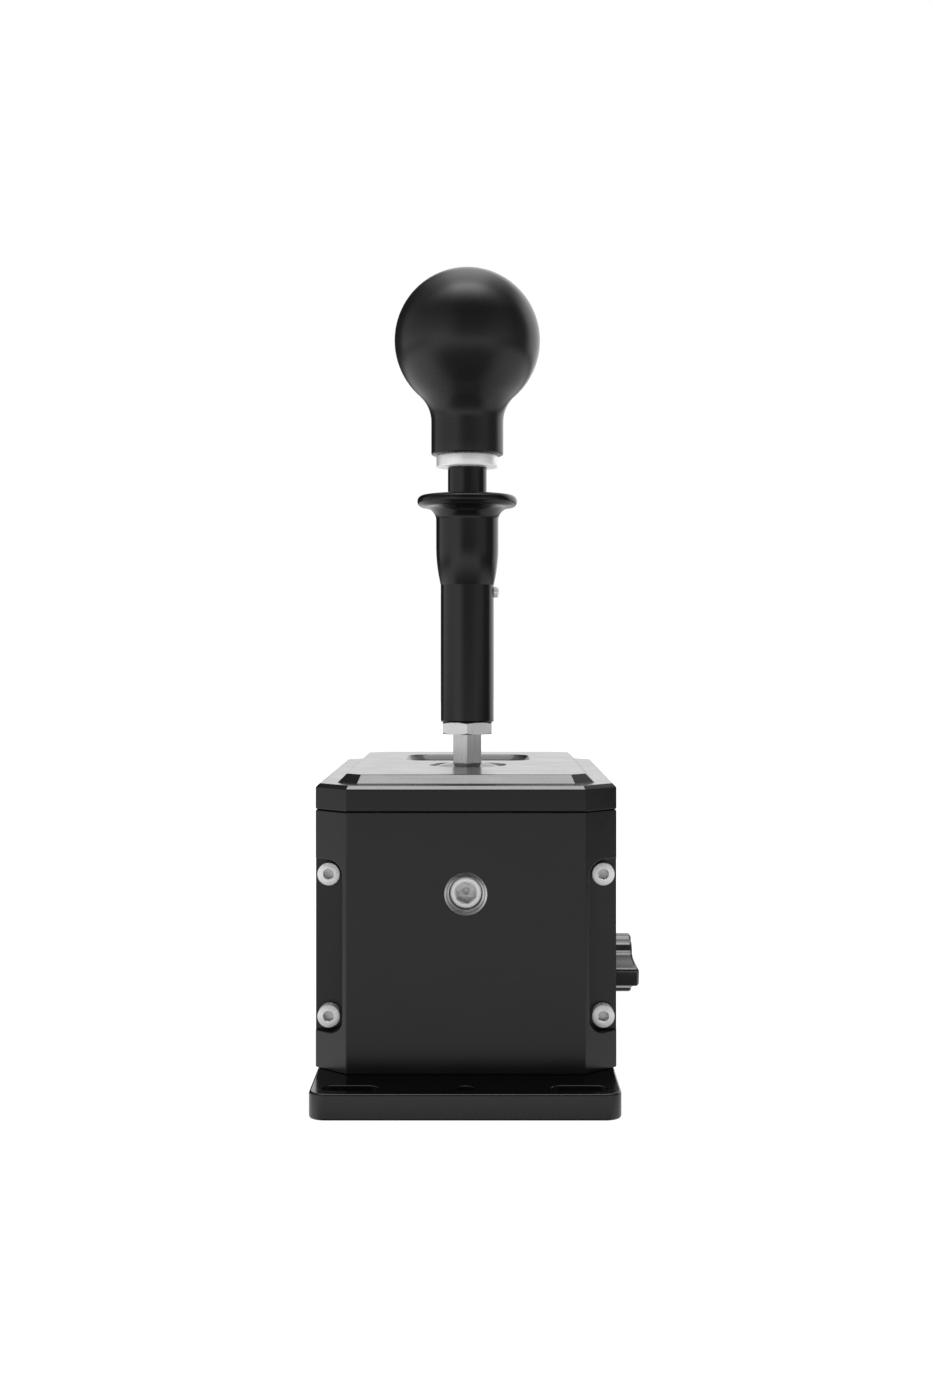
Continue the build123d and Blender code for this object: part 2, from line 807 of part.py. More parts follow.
# Gimbal frame: a ring round the lever with trunnion bosses and two spring legs
cheek_middle_x = frame_half_width - frame_cheek / 2
sensor_standoff = cross_shaft_proud + magnet_thickness + sensor_air_gap + sensor_chip_height
with BuildPart() as gimbal_frame:
    with BuildSketch(lever_plane(pivot_height - frame_half_height)):
        RectangleRounded(2 * frame_half_width, 2 * frame_half_depth, frame_corner_radius)
        Rectangle(
            2 * (frame_half_width - frame_cheek), 2 * (frame_half_depth - frame_bar),
            mode=Mode.SUBTRACT,
        )
    extrude(amount=2 * frame_half_height)
    with BuildSketch(lever_plane(pivot_height - frame_half_height)):
        with GridLocations(2 * cheek_middle_x, 0, 2, 1):
            Rectangle(frame_cheek, 2 * frame_leg_half_depth)
    extrude(amount=-frame_leg_drop)
    for trunnion in (
        front_plane(frame_front_y, z=pivot_height),
        rear_plane(frame_rear_y, z=pivot_height),
    ):
        rod(trunnion, 0, frame_boss_length - frame_nose_length, frame_boss_radius)
        rod(trunnion, 0, frame_boss_length, pivot_land_radius)
        rod(
            trunnion, frame_boss_length - pivot_thread_in_frame, pivot_thread_in_frame,
            pivot_bolt_radius, Mode.SUBTRACT,
        )
    for side in (-1, 1):
        cheek = side_plane(side, frame_half_width, lever_y, pivot_height)
        rod(cheek, -cross_bearing_width, cross_bearing_width, cross_bearing_radius, Mode.SUBTRACT)
        rod(cheek, -frame_cheek, frame_cheek, cross_lip_radius, Mode.SUBTRACT)
finish(gimbal_frame.part, "gimbal_frame")

with BuildPart() as cross_bearing_outers:
    for side in (-1, 1):
        bearing_outer(
            side_plane(side, frame_half_width, lever_y, pivot_height),
            -cross_bearing_width, cross_bearing_width, cross_bearing_radius,
            cross_land_radius,
        )
finish(cross_bearing_outers.part, "cross_bearing_outers")

inner_rings = []
for side in (-1, 1):
    with BuildPart() as inner_ring:
        bearing_inner(
            side_plane(side, frame_half_width, lever_y, pivot_height),
            -cross_bearing_width, cross_bearing_width, cross_shaft_radius,
            cross_land_radius,
        )
    inner_rings.append(inner_ring.part)
finish(Compound(children=inner_rings), "cross_bearing_inners")

# Spacers that centre the lever between its bearings
spacer_length = frame_half_width - cross_bearing_width - hub_half_width
spacers = []
for side in (-1, 1):
    with BuildPart() as spacer:
        bearing_inner(
            side_plane(side, hub_half_width, lever_y, pivot_height),
            0, spacer_length, cross_shaft_radius, cross_land_radius,
        )
    spacers.append(spacer.part)
finish(Compound(children=spacers), "cross_spacers")

cross_shaft_half = frame_half_width + cross_shaft_proud
with BuildPart() as cross_shaft:
    rod(
        side_plane(1, 0, lever_y, pivot_height), -cross_shaft_half,
        2 * cross_shaft_half, cross_shaft_radius,
    )
finish(cross_shaft.part, "cross_shaft")

# Lever hub on the cross shaft
cross_axis_plane = side_plane(1, 0, lever_y, pivot_height)
with BuildPart() as lever_hub:
    block(
        lever_plane(pivot_height - hub_drop), 2 * hub_half_width, 2 * hub_half_width,
        hub_drop + hub_shoulder,
    )
    chamfer(lever_hub.edges(), length=hub_edge)
    rod(lever_plane(pivot_height), 0, hub_neck_top, hub_half_width)
    hex_bar(
        lever_plane(pivot_height - hub_drop), 0, hub_drop + hub_neck_top,
        lever_hex_across, turn=flat_turn_deg, mode=Mode.SUBTRACT,
    )
    rod(
        cross_axis_plane, -hub_half_width, 2 * hub_half_width, cross_shaft_radius,
        Mode.SUBTRACT,
    )
finish(lever_hub.part, "lever_hub")

# Hexagon lever rod with a turned stud on top
rod_foot_z = pivot_height - rod_foot_drop
with BuildPart() as lever_rod:
    hex_bar(lever_plane(0), rod_foot_z, rod_top_z - rod_foot_z, lever_hex_across, turn=flat_turn_deg)
    rod(lever_plane(0), rod_top_z, rod_stud_length, rod_stud_radius)
    rod(
        cross_axis_plane, -lever_hex_across, 2 * lever_hex_across, cross_shaft_radius,
        Mode.SUBTRACT,
    )
finish(lever_rod.part, "lever_rod")

# Dust dome: a cap of a sphere about the pivot, on a boss that sits on the hub
with BuildPart() as dust_dome:
    with BuildSketch(Plane(origin=(0, lever_y, pivot_height), x_dir=(1, 0, 0), z_dir=(0, -1, 0))):
        inner_radius = dome_radius - dome_wall
        rim_x = sin(radians(dome_half_angle))
        rim_z = cos(radians(dome_half_angle))
        half_x = sin(radians(dome_half_angle / 2))
        half_z = cos(radians(dome_half_angle / 2))
        boss_top = sqrt(inner_radius**2 - dome_boss_radius**2)
        boss_angle = asin(dome_boss_radius / inner_radius)
        middle_angle = (boss_angle + radians(dome_half_angle)) / 2
        with BuildLine():
            ThreePointArc(
                (0, dome_radius), (dome_radius * half_x, dome_radius * half_z),
                (dome_radius * rim_x, dome_radius * rim_z),
            )
            Line(
                (dome_radius * rim_x, dome_radius * rim_z),
                (inner_radius * rim_x, inner_radius * rim_z),
            )
            ThreePointArc(
                (inner_radius * rim_x, inner_radius * rim_z),
                (inner_radius * sin(middle_angle), inner_radius * cos(middle_angle)),
                (dome_boss_radius, boss_top),
            )
            Polyline(
                (dome_boss_radius, boss_top), (dome_boss_radius, hub_neck_top),
                (0, hub_neck_top), (0, dome_radius),
            )
        make_face()
    revolve(axis=lever_axis)
    hex_bar(
        lever_plane(pivot_height + hub_neck_top), 0, dome_radius, lever_hex_across,
        turn=flat_turn_deg, mode=Mode.SUBTRACT,
    )
finish(dust_dome.part, "dust_dome")


# Jam nut with bevelled corners
with BuildPart() as jam_nut:
    hex_bar(lever_plane(rod_top_z), 0, jam_nut_height, jam_nut_across, turn=flat_turn_deg)
    corner_radius = jam_nut_across / sqrt(3)
    with BuildSketch(Plane(origin=(0, lever_y, rod_top_z), x_dir=(1, 0, 0), z_dir=(0, -1, 0))):
        with BuildLine():
            Polyline(
                (0, 0), (corner_radius - 2 * jam_nut_bevel, 0), (corner_radius, jam_nut_bevel),
                (corner_radius, jam_nut_height - jam_nut_bevel),
                (corner_radius - 2 * jam_nut_bevel, jam_nut_height), (0, jam_nut_height),
                close=True,
            )
        make_face()
    revolve(axis=lever_axis, mode=Mode.INTERSECT)
    rod(lever_plane(rod_top_z), 0, jam_nut_height, rod_stud_radius, Mode.SUBTRACT)
finish(jam_nut.part, "jam_nut")

# Upper rod: bored for the lever's stud, slotted for the guide screw, studded on top
snap_ring_z = flange_top_z - sleeve_bush_sink - sleeve_bush_length - snap_ring_drop
snap_groove_radius = upper_rod_radius - snap_groove_depth
guide_slot_floor = upper_rod_radius - guide_tip_depth
guide_slot_half_width = guide_tip_radius + guide_slot_side_gap
with BuildPart() as upper_rod:
    rod(lever_plane(0), jam_nut_top, knob_ring_bottom_z - jam_nut_top, upper_rod_radius)
    rod(lever_plane(0), knob_ring_bottom_z, upper_rod_stud_length, upper_rod_stud_radius)
    rod(
        lever_plane(0), jam_nut_top, rod_stud_length - jam_nut_height, rod_stud_radius,
        Mode.SUBTRACT,
    )
    slot_plane = side_plane(1, 0, lever_y, guide_screw_z + collar_travel / 2)
    with BuildSketch(slot_plane.offset(guide_slot_floor - guide_slot_floor_gap)) as guide_slot:
        SlotOverall(
            collar_travel + 2 * guide_slot_half_width, 2 * guide_slot_half_width,
            rotation=upright_turn_deg,
        )
    extrude(guide_slot.sketch, amount=upper_rod_radius, mode=Mode.SUBTRACT)
    with BuildSketch(lever_plane(snap_ring_z)) as groove:
        Circle(upper_rod_radius)
        Circle(snap_groove_radius, mode=Mode.SUBTRACT)
    extrude(groove.sketch, amount=snap_ring_thickness, mode=Mode.SUBTRACT)
finish(upper_rod.part, "upper_rod")

with BuildPart() as snap_ring:
    with BuildSketch(lever_plane(snap_ring_z)):
        Circle(snap_ring_radius)
        Circle(snap_groove_radius, mode=Mode.SUBTRACT)
        with Locations((-snap_ring_radius, 0)):
            Rectangle(snap_ring_radius, snap_ring_gap_width, mode=Mode.SUBTRACT)
    extrude(amount=snap_ring_thickness)
finish(snap_ring.part, "snap_ring")

# Lift collar: sleeve, tapered grip and full-round finger flange
flange_bottom = flange_top_z - flange_thickness
rim_radius = flange_thickness / 2
rim_centre_x = flange_radius - rim_radius
flare_radius = rim_centre_x - grip_radius
grip_top = flange_bottom - flare_radius
spring_room_bottom = flange_top_z - spring_room_length
bore_radius = upper_rod_radius + running_gap
with BuildPart() as lift_sleeve:
    with BuildSketch(Plane(origin=(0, lever_y, 0), x_dir=(1, 0, 0), z_dir=(0, -1, 0))):
        with BuildLine():
            Polyline(
                (bore_radius, sleeve_bottom), (sleeve_radius - sleeve_foot_bevel, sleeve_bottom),
                (sleeve_radius, sleeve_bottom + sleeve_foot_bevel),
                (sleeve_radius, taper_bottom),
            )
            TangentArc(
                (grip_radius, grip_bottom), (sleeve_radius, taper_bottom), tangent=(0, -1)
            )
            Line((grip_radius, grip_bottom), (grip_radius, grip_top))
            RadiusArc((grip_radius, grip_top), (rim_centre_x, flange_bottom), flare_radius)
            ThreePointArc(
                (rim_centre_x, flange_bottom),
                (flange_radius, flange_bottom + rim_radius),
                (rim_centre_x, flange_top_z),
            )
            Polyline(
                (rim_centre_x, flange_top_z),
                (spring_room_radius, flange_top_z),
                (spring_room_radius, spring_room_bottom),
                (bore_radius, spring_room_bottom),
                (bore_radius, sleeve_bottom),
            )
        make_face()
    revolve(axis=lever_axis)
    rod(
        side_plane(1, 0, lever_y, guide_screw_z), guide_slot_floor,
        sleeve_radius, guide_tip_radius, Mode.SUBTRACT,
    )
finish(lift_sleeve.part, "lift_sleeve")

with BuildPart() as sleeve_bush:
    bush_bottom = flange_top_z - sleeve_bush_sink - sleeve_bush_length
    rod(lever_plane(bush_bottom), 0, sleeve_bush_length, spring_room_radius)
    rod(lever_plane(bush_bottom), 0, sleeve_bush_length, bore_radius, Mode.SUBTRACT)
finish(sleeve_bush.part, "sleeve_bush")

with BuildPart() as guide_screw:
    guide_plane = side_plane(1, 0, lever_y, guide_screw_z)
    rod(guide_plane, guide_slot_floor, sleeve_radius - guide_slot_floor, guide_tip_radius)
    rod(guide_plane, sleeve_radius, guide_head_proud, guide_head_radius)
    chamfer(guide_screw.faces().sort_by(Axis.X)[-1].edges(), length=edge_break)
finish(guide_screw.part, "guide_screw")

collar_spring = coil(
    (0, lever_y, spring_room_bottom + seat_gap), (0, 0, 1),
    snap_ring_z - spring_room_bottom - 2 * seat_gap, collar_spring_turns,
    collar_spring_coil_radius, collar_spring_wire_radius,
)
finish(collar_spring, "collar_spring")

# Knob ring, insert and ball knob
with BuildPart() as knob_ring:
    rod(lever_plane(knob_ring_bottom_z), 0, knob_ring_height, knob_ring_radius)
    chamfer(knob_ring.edges(), length=knob_ring_bevel)
    rod(
        lever_plane(knob_ring_bottom_z), 0, knob_ring_height, upper_rod_stud_radius,
        Mode.SUBTRACT,
    )
finish(knob_ring.part, "knob_ring")

with BuildPart() as knob_insert:
    rod(lever_plane(knob_bottom), 0, knob_insert_length, knob_insert_radius)
    rod(
        lever_plane(knob_bottom), 0, upper_rod_stud_length - knob_ring_height,
        upper_rod_stud_radius, Mode.SUBTRACT,
    )
finish(knob_insert.part, "knob_insert")

with BuildPart() as knob:
    with BuildSketch(Plane(origin=(0, lever_y, knob_ball_z), x_dir=(1, 0, 0), z_dir=(0, -1, 0))):
        neck_bottom = knob_bottom - knob_ball_z
        blend_x = knob_neck_radius + knob_neck_blend
        blend_reach = knob_ball_radius + knob_neck_blend
        blend_z = -sqrt(blend_reach**2 - blend_x**2)
        ball_x = knob_ball_radius / blend_reach * blend_x
        ball_z = knob_ball_radius / blend_reach * blend_z
        with BuildLine():
            Polyline((0, neck_bottom), (knob_neck_radius, neck_bottom), (knob_neck_radius, blend_z))
            RadiusArc((knob_neck_radius, blend_z), (ball_x, ball_z), knob_neck_blend)
            ThreePointArc((ball_x, ball_z), (knob_ball_radius, 0), (0, knob_ball_radius))
            Line((0, knob_ball_radius), (0, neck_bottom))
        make_face()
    revolve(axis=lever_axis)
    fillet(knob.edges().sort_by(Axis.Z)[0], radius=knob_foot_round)
    rod(lever_plane(knob_bottom), 0, knob_insert_length, knob_insert_radius, Mode.SUBTRACT)
finish(knob.part, "knob")

# Plunger below the hub
tube_top = pivot_height - hub_drop
plunger_bore = plunger_radius + running_gap
with BuildPart() as plunger_tube:
    rod(lever_plane(tube_top), -plunger_tube_length, plunger_tube_length, plunger_tube_radius)
    rod(
        lever_plane(tube_top), 0, plunger_spigot_length,
        lever_hex_across / 2 - running_gap,
    )
    rod(
        lever_plane(tube_top), -plunger_tube_length,
        plunger_tube_length - plunger_room_top, plunger_bore, Mode.SUBTRACT,
    )
finish(plunger_tube.part, "plunger_tube")

plunger_tip_z = pivot_height - plunger_reach
plunger_top_z = plunger_tip_z + plunger_length
with BuildPart() as detent_plunger:
    rod(
        lever_plane(plunger_tip_z + plunger_radius), 0, plunger_length - plunger_radius,
        plunger_radius,
    )
    with Locations((0, lever_y, plunger_tip_z + plunger_radius)):
        Sphere(plunger_radius)
finish(detent_plunger.part, "detent_plunger")

detent_spring = coil(
    (0, lever_y, plunger_top_z + seat_gap), (0, 0, 1),
    tube_top - plunger_room_top - plunger_top_z - 2 * seat_gap, plunger_spring_turns,
    plunger_spring_coil_radius, plunger_spring_wire_radius,
)
finish(detent_spring, "detent_spring")

# Detent bowl: a dish about the pivot with a dimple for each gear
bowl_radius = plunger_reach + seat_gap
bowl_top = base_thickness + bowl_height
with BuildPart() as detent_bowl:
    block(lever_plane(base_thickness), 2 * bowl_half_width, 2 * bowl_half_width, bowl_height)
    with Locations((0, lever_y, pivot_height)):
        Sphere(bowl_radius, mode=Mode.SUBTRACT)
    dimple_swing = bowl_radius * sin(radians(lever_travel_deg))
    for step_x in (-1, 0, 1):
        for step_y in (-1, 1):
            dimple_x = step_x * dimple_swing
            dimple_y = step_y * dimple_swing
            dimple_z = sqrt(bowl_radius**2 - dimple_x**2 - dimple_y**2)
            inward_share = (bowl_radius + bowl_dimple_depth - bowl_dimple_radius) / bowl_radius
            with Locations(
                (
                    dimple_x * inward_share, lever_y + dimple_y * inward_share,
                    pivot_height - dimple_z * inward_share,
                )
            ):
                Sphere(bowl_dimple_radius, mode=Mode.SUBTRACT)
    for place in bowl_screw_places:
        hole = Plane(origin=(place[0], place[1], bowl_top), z_dir=(0, 0, 1))
        head_depth = bowl_head_height + edge_break
        rod(hole, -bowl_height, bowl_height, bowl_screw_radius + screw_gap, Mode.SUBTRACT)
        rod(hole, -head_depth, head_depth, bowl_head_radius + screw_gap, Mode.SUBTRACT)
finish(detent_bowl.part, "detent_bowl")

with BuildPart() as bowl_screws:
    for place in bowl_screw_places:
        seat_z = bowl_top - edge_break - bowl_head_height
        seat = Plane(origin=(place[0], place[1], seat_z), z_dir=(0, 0, 1))
        socket_screw(
            seat, bowl_screw_radius, bowl_screw_length, bowl_head_radius,
            bowl_head_height, bowl_head_radius,
        )
finish(bowl_screws.part, "bowl_screws")

# Centring springs between the side walls and the frame's legs
centring_springs = []
for side in (-1, 1):
    start_x = frame_half_width + seat_gap
    end_x = wall_inner_x + centring_seat_depth - seat_gap
    centring_springs.append(
        coil(
            (side * start_x, lever_y, pivot_height - centring_drop), (side, 0, 0),
            end_x - start_x, centring_turns, centring_coil_radius, centring_wire_radius,
        )
    )
finish(Compound(children=centring_springs), "centring_springs")


# Sensors: a magnet on each pivot's end faces a chip on its own small board
def sensor_board(plane, start):
    """Board with the chip towards the plane, and two pillars that carry it."""
    with BuildPart() as board:
        block(plane.offset(start), sensor_board_width, sensor_board_height, board_thickness)
        block(
            plane.offset(start - sensor_chip_height), sensor_chip_width,
            sensor_chip_width, sensor_chip_height,
        )
    return board


def sensor_pillars(plane, length):
    """Two pillars from a plane to the board."""
    spread = sensor_board_width - 2 * sensor_pillar_radius - 2 * edge_break
    with BuildPart() as pillars:
        with BuildSketch(plane) as section:
            with GridLocations(spread, 0, 2, 1):
                Circle(sensor_pillar_radius)
        extrude(section.sketch, amount=length)
    return pillars


block_back = rear_plane(block_rear_y, z=pivot_height)
select_magnet_y = rear_head_y + pivot_head_height
select_board_start = (
    select_magnet_y + magnet_thickness + sensor_air_gap + sensor_chip_height - block_rear_y
)
with BuildPart() as select_magnet:
    rod(rear_plane(select_magnet_y, z=pivot_height), 0, magnet_thickness, select_magnet_radius)
finish(select_magnet.part, "select_magnet")
finish(sensor_board(block_back, select_board_start).part, "select_sensor_board")
finish(sensor_pillars(block_back, select_board_start).part, "select_sensor_pillars")

cheek_right = side_plane(1, frame_half_width, lever_y, pivot_height)
with BuildPart() as shift_magnet:
    rod(cheek_right, cross_shaft_proud, magnet_thickness, shift_magnet_radius)
finish(shift_magnet.part, "shift_magnet")
finish(sensor_board(cheek_right, sensor_standoff).part, "shift_sensor_board")
finish(sensor_pillars(cheek_right, sensor_standoff).part, "shift_sensor_pillars")

# Main board in the rear cover's room, on four standoffs
board_back_y = board_room_floor_y - board_standoff_height
board_middle_z = board_bottom_z + board_height / 2
board_places = [
    (
        x_side * (board_width / 2 - board_hole_inset),
        board_middle_z + z_side * (board_height / 2 - board_hole_inset),
    )
    for x_side in (-1, 1)
    for z_side in (-1, 1)
]
with BuildPart() as main_board:
    block(
        front_plane(board_back_y, z=board_middle_z), board_width, board_height,
        board_thickness,
    )
    block(
        front_plane(board_back_y - board_thickness, z=board_middle_z), board_chip_width,
        board_chip_width, board_chip_height,
    )
    for place in board_places:
        rod(
            front_plane(board_back_y, x=place[0], z=place[1]), 0, board_thickness,
            board_screw_radius, Mode.SUBTRACT,
        )
finish(main_board.part, "main_board")

standoffs = []
for place in board_places:
    with BuildPart() as standoff:
        foot = front_plane(board_room_floor_y, x=place[0], z=place[1])
        rod(foot, 0, board_standoff_height, board_standoff_radius)
        rod(foot, 0, board_standoff_height, board_screw_radius, Mode.SUBTRACT)
    standoffs.append(standoff.part)
finish(Compound(children=standoffs), "board_standoffs")

with BuildPart() as board_screws:
    for place in board_places:
        seat = front_plane(board_back_y - board_thickness, x=place[0], z=place[1])
        screw_length = board_thickness + 2 * board_standoff_height
        socket_screw(
            seat, board_screw_radius, screw_length, board_screw_head_radius,
            board_screw_head_height, board_screw_head_radius,
        )
finish(board_screws.part, "board_screws")

# Data socket on the main board, with its mouth in the cover's recess
socket_length = socket_recess_floor_y - board_back_y
socket_back = rear_plane(board_back_y, z=socket_z)
with BuildPart() as usb_socket:
    with BuildSketch(socket_back) as shell:
        SlotOverall(socket_width, socket_height)
    extrude(shell.sketch, amount=socket_length)
    with BuildSketch(socket_back.offset(socket_height)) as mouth:
        SlotOverall(socket_width - 2 * socket_wall, socket_height - 2 * socket_wall)
    extrude(mouth.sketch, amount=socket_length, mode=Mode.SUBTRACT)
    block(
        socket_back, socket_tongue_width, socket_tongue_thickness,
        socket_length - socket_tongue_setback,
    )
finish(usb_socket.part, "usb_socket")

# Mode switch inside the right wall, its nut in the wall's recess, shaft and dial
switch_body_x = wall_inner_x - switch_wall_gap
switch_inside = side_plane(1, switch_body_x, dial_y, dial_z)
switch_nut_x = housing_half_width - switch_recess_depth
switch_collar_length = switch_nut_x + switch_nut_height - switch_body_x
with BuildPart() as mode_switch:
    block(switch_inside, switch_body_width, switch_body_width, -switch_body_depth)
    chamfer(mode_switch.edges().filter_by(Axis.X), length=switch_body_bevel)
    block(switch_inside, switch_front_width, switch_front_width, switch_wall_gap)
    rod(switch_inside, 0, switch_collar_length, switch_collar_radius)
    rod(
        switch_inside, -dial_shaft_inside, dial_shaft_inside + switch_collar_length,
        dial_shaft_radius + running_gap, Mode.SUBTRACT,
    )
finish(mode_switch.part, "mode_switch")

with BuildPart() as switch_nut:
    nut_plane = side_plane(1, switch_nut_x, dial_y, dial_z)
    hex_bar(nut_plane, 0, switch_nut_height, switch_nut_across)
    rod(nut_plane, 0, switch_nut_height, switch_collar_radius, Mode.SUBTRACT)
finish(switch_nut.part, "switch_nut")

dial_back_x = housing_half_width + seat_gap
shaft_start = seat_gap - dial_shaft_inside
shaft_length = dial_back_x + dial_shaft_in_knob - switch_body_x - shaft_start
with BuildPart() as dial_shaft:
    rod(switch_inside, shaft_start, shaft_length, dial_shaft_radius)
finish(dial_shaft.part, "dial_shaft")

dial_face = side_plane(1, dial_back_x, dial_y, dial_z)
droop = radians(dial_pointer_droop_deg)
pointer_plane = Plane(
    origin=dial_face.origin, x_dir=(1, 0, 0), z_dir=(0, sin(droop), -cos(droop))
)
with BuildPart() as dial_pointer:
    with BuildSketch(pointer_plane.offset(-dial_pointer_width / 2)) as pointer:
        with BuildLine():
            Polyline(
                (0, dial_pointer_reach), (0, 0), (dial_thickness, -dial_radius + dial_rim_round),
                (dial_thickness + dial_pointer_proud, dial_pointer_reach),
                close=True,
            )
        make_face()
    extrude(pointer.sketch, amount=dial_pointer_width)
    nose = dial_pointer.faces().sort_by(Axis((0, 0, 0), pointer_plane.y_dir))[-1]
    fillet(nose.edges(), radius=dial_pointer_round)

with BuildPart() as dial_knob:
    rod(dial_face, 0, dial_thickness, dial_radius)
    fillet(dial_knob.faces().sort_by(Axis.X)[-1].edges(), radius=dial_rim_round)
    with BuildSketch(dial_face) as flutes:
        with PolarLocations(
            dial_radius + dial_flute_radius - dial_flute_depth, dial_flute_count
        ):
            Circle(dial_flute_radius)
    extrude(flutes.sketch, amount=dial_thickness, mode=Mode.SUBTRACT)
    add(dial_pointer.part)
    rod(dial_face, 0, dial_shaft_in_knob, dial_shaft_radius, Mode.SUBTRACT)
finish(dial_knob.part, "dial_knob")
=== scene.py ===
import json
import math

import bmesh
import bpy
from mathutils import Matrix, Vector


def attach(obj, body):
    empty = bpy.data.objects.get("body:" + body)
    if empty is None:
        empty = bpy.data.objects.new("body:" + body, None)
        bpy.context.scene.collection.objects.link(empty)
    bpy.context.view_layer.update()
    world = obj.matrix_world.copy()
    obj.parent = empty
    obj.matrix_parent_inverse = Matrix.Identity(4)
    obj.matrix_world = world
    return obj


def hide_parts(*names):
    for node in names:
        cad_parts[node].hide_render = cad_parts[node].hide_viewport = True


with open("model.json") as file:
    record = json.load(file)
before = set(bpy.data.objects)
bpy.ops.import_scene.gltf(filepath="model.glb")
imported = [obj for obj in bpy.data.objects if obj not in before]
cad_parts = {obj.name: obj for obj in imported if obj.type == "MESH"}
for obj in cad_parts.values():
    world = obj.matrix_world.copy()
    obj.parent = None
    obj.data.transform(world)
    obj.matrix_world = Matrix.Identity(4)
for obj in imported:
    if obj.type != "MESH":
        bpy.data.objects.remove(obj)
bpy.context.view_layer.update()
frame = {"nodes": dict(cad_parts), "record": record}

MM = 0.001

# Sizes in millimetres: x to the right, y to the rear, z up from the table
LEVER_Y = -14.2
PIVOT_Z = 63.6
HALF_WIDTH = 47.2
HALF_DEPTH = 70.7
CORNER_CUT = 10.3
COVER_THICK = 18.0
WALL_THICK = 8.968
HOUSING_LOW = 8.0
HOUSING_TOP = 88.6
RIM_TOP = 97.0
RIM_BEVEL = 1.25
RIM_WIDTH = 6.7
PLATEAU_RISE = 2.8
PLATEAU_TOP = 99.8
SHADOW_GAP = 0.45
LEVER_HOLE_RADIUS = 13.2
DOME_ROOM_RADIUS = 37.6

WINDOW_WIDTH = 44.0
WINDOW_LENGTH = 36.1
WINDOW_Y = 24.95
WINDOW_CORNER = 6.8
WINDOW_DEPTH = 3.0

SCREW_X = 42.9
SCREW_HEIGHTS = (24.4, 68.8)
POCKET_REACH = 4.8
POCKET_CORNER = 4.79
POCKET_DEPTH = 11.5
PIVOT_BORE_RADIUS = 6.72
PLUG_Z = 30.0
PANEL_BREAK = 0.3
PAST = 4.0

BASE_HALF_WIDTH = 46.5
BASE_HALF_LENGTH = 94.2
BASE_THICK = 8.0
SLOT_X = 34.2
SLOT_Y = 87.0
SLOT_HALF_LENGTH = 8.5
SLOT_RADIUS = 3.2
CENTRE_HOLE_RADIUS = 2.75

DIAL_X = 47.5
DIAL_Z = 30.1
DIAL_RADIUS = 10.1
DIAL_CENTRE = (DIAL_X * MM, 0, DIAL_Z * MM)

NUT_Z = 110.3
COLLAR_Z = 114.3
GUIDE_Z = 158.4
RING_Z = 200.7
KNOB_Z = 243.8
KNOB_RADIUS = 24.7


# Modelling helpers, sizes in millimetres

def leave_edit():
    bpy.ops.object.mode_set(mode="OBJECT")


def clear_selection():
    if bpy.context.object and bpy.context.object.mode != "OBJECT":
        leave_edit()
    bpy.ops.object.select_all(action="DESELECT")


def take(*pieces):
    """Select these pieces and nothing else, with the first one active."""
    clear_selection()
    for piece in pieces:
        piece.select_set(True)
    bpy.context.view_layer.objects.active = pieces[0]


def name_new(name):
    piece = bpy.context.object
    piece.name = name
    piece.data.name = name
    return piece


def settle(piece):
    """Put the piece's place in its mesh and its object at the origin."""
    take(piece)
    bpy.ops.object.transform_apply(location=True, rotation=True, scale=True)
    return piece


def edit(piece, mode="FACE"):
    take(piece)
    bpy.ops.object.mode_set(mode="EDIT")
    bpy.ops.mesh.select_mode(type=mode)
    bpy.ops.mesh.select_all(action="DESELECT")


def pick_faces(piece, test):
    """Select the faces whose centre (in millimetres) and normal pass a test."""
    shape = bmesh.from_edit_mesh(piece.data)
    for face in shape.faces:
        face.select_set(bool(test(face.calc_center_median() / MM, face.normal)))
    bmesh.update_edit_mesh(piece.data)


def pick_edges(piece, test):
    """Select the edges whose two ends (in millimetres) pass a test."""
    shape = bmesh.from_edit_mesh(piece.data)
    for edge in shape.edges:
        edge.select_set(bool(test(edge.verts[0].co / MM, edge.verts[1].co / MM)))
    bmesh.update_edit_mesh(piece.data)


def pick_points(piece, test):
    """Select the points whose place (in millimetres) passes a test."""
    shape = bmesh.from_edit_mesh(piece.data)
    for point in shape.verts:
        point.select_set(bool(test(point.co / MM)))
    shape.select_flush(True)
    bmesh.update_edit_mesh(piece.data)


def bevel_edges(piece, width, steps, test):
    """Bevel the edges whose two ends pass a test."""
    edit(piece, "EDGE")
    pick_edges(piece, test)
    bpy.ops.mesh.bevel(offset=width * MM, segments=steps, affect="EDGES", clamp_overlap=False)
    leave_edit()
    return piece


def slab(name, low, high):
    """Rectangular stock between two corners."""
    clear_selection()
    middle = [(a + b) / 2 * MM for a, b in zip(low, high)]
    bpy.ops.mesh.primitive_cube_add(size=1, location=middle)
    piece = name_new(name)
    piece.scale = [(b - a) * MM for a, b in zip(low, high)]
    return settle(piece)


# For each axis: the turn that lays a Z shape along it, its direction, and the side of it where
# a lathe profile starts
TURNS = {"X": (0, math.pi / 2, 0), "-X": (0, -math.pi / 2, 0), "Y": (-math.pi / 2, 0, 0),
         "-Y": (math.pi / 2, 0, 0), "Z": (0, 0, 0)}
AXES = {"X": Vector((1, 0, 0)), "-X": Vector((-1, 0, 0)), "Y": Vector((0, 1, 0)),
        "-Y": Vector((0, -1, 0)), "Z": Vector((0, 0, 1))}
OUTS = {"X": Vector((0, 1, 0)), "-X": Vector((0, 1, 0)), "Y": Vector((1, 0, 0)),
        "-Y": Vector((1, 0, 0)), "Z": Vector((1, 0, 0))}


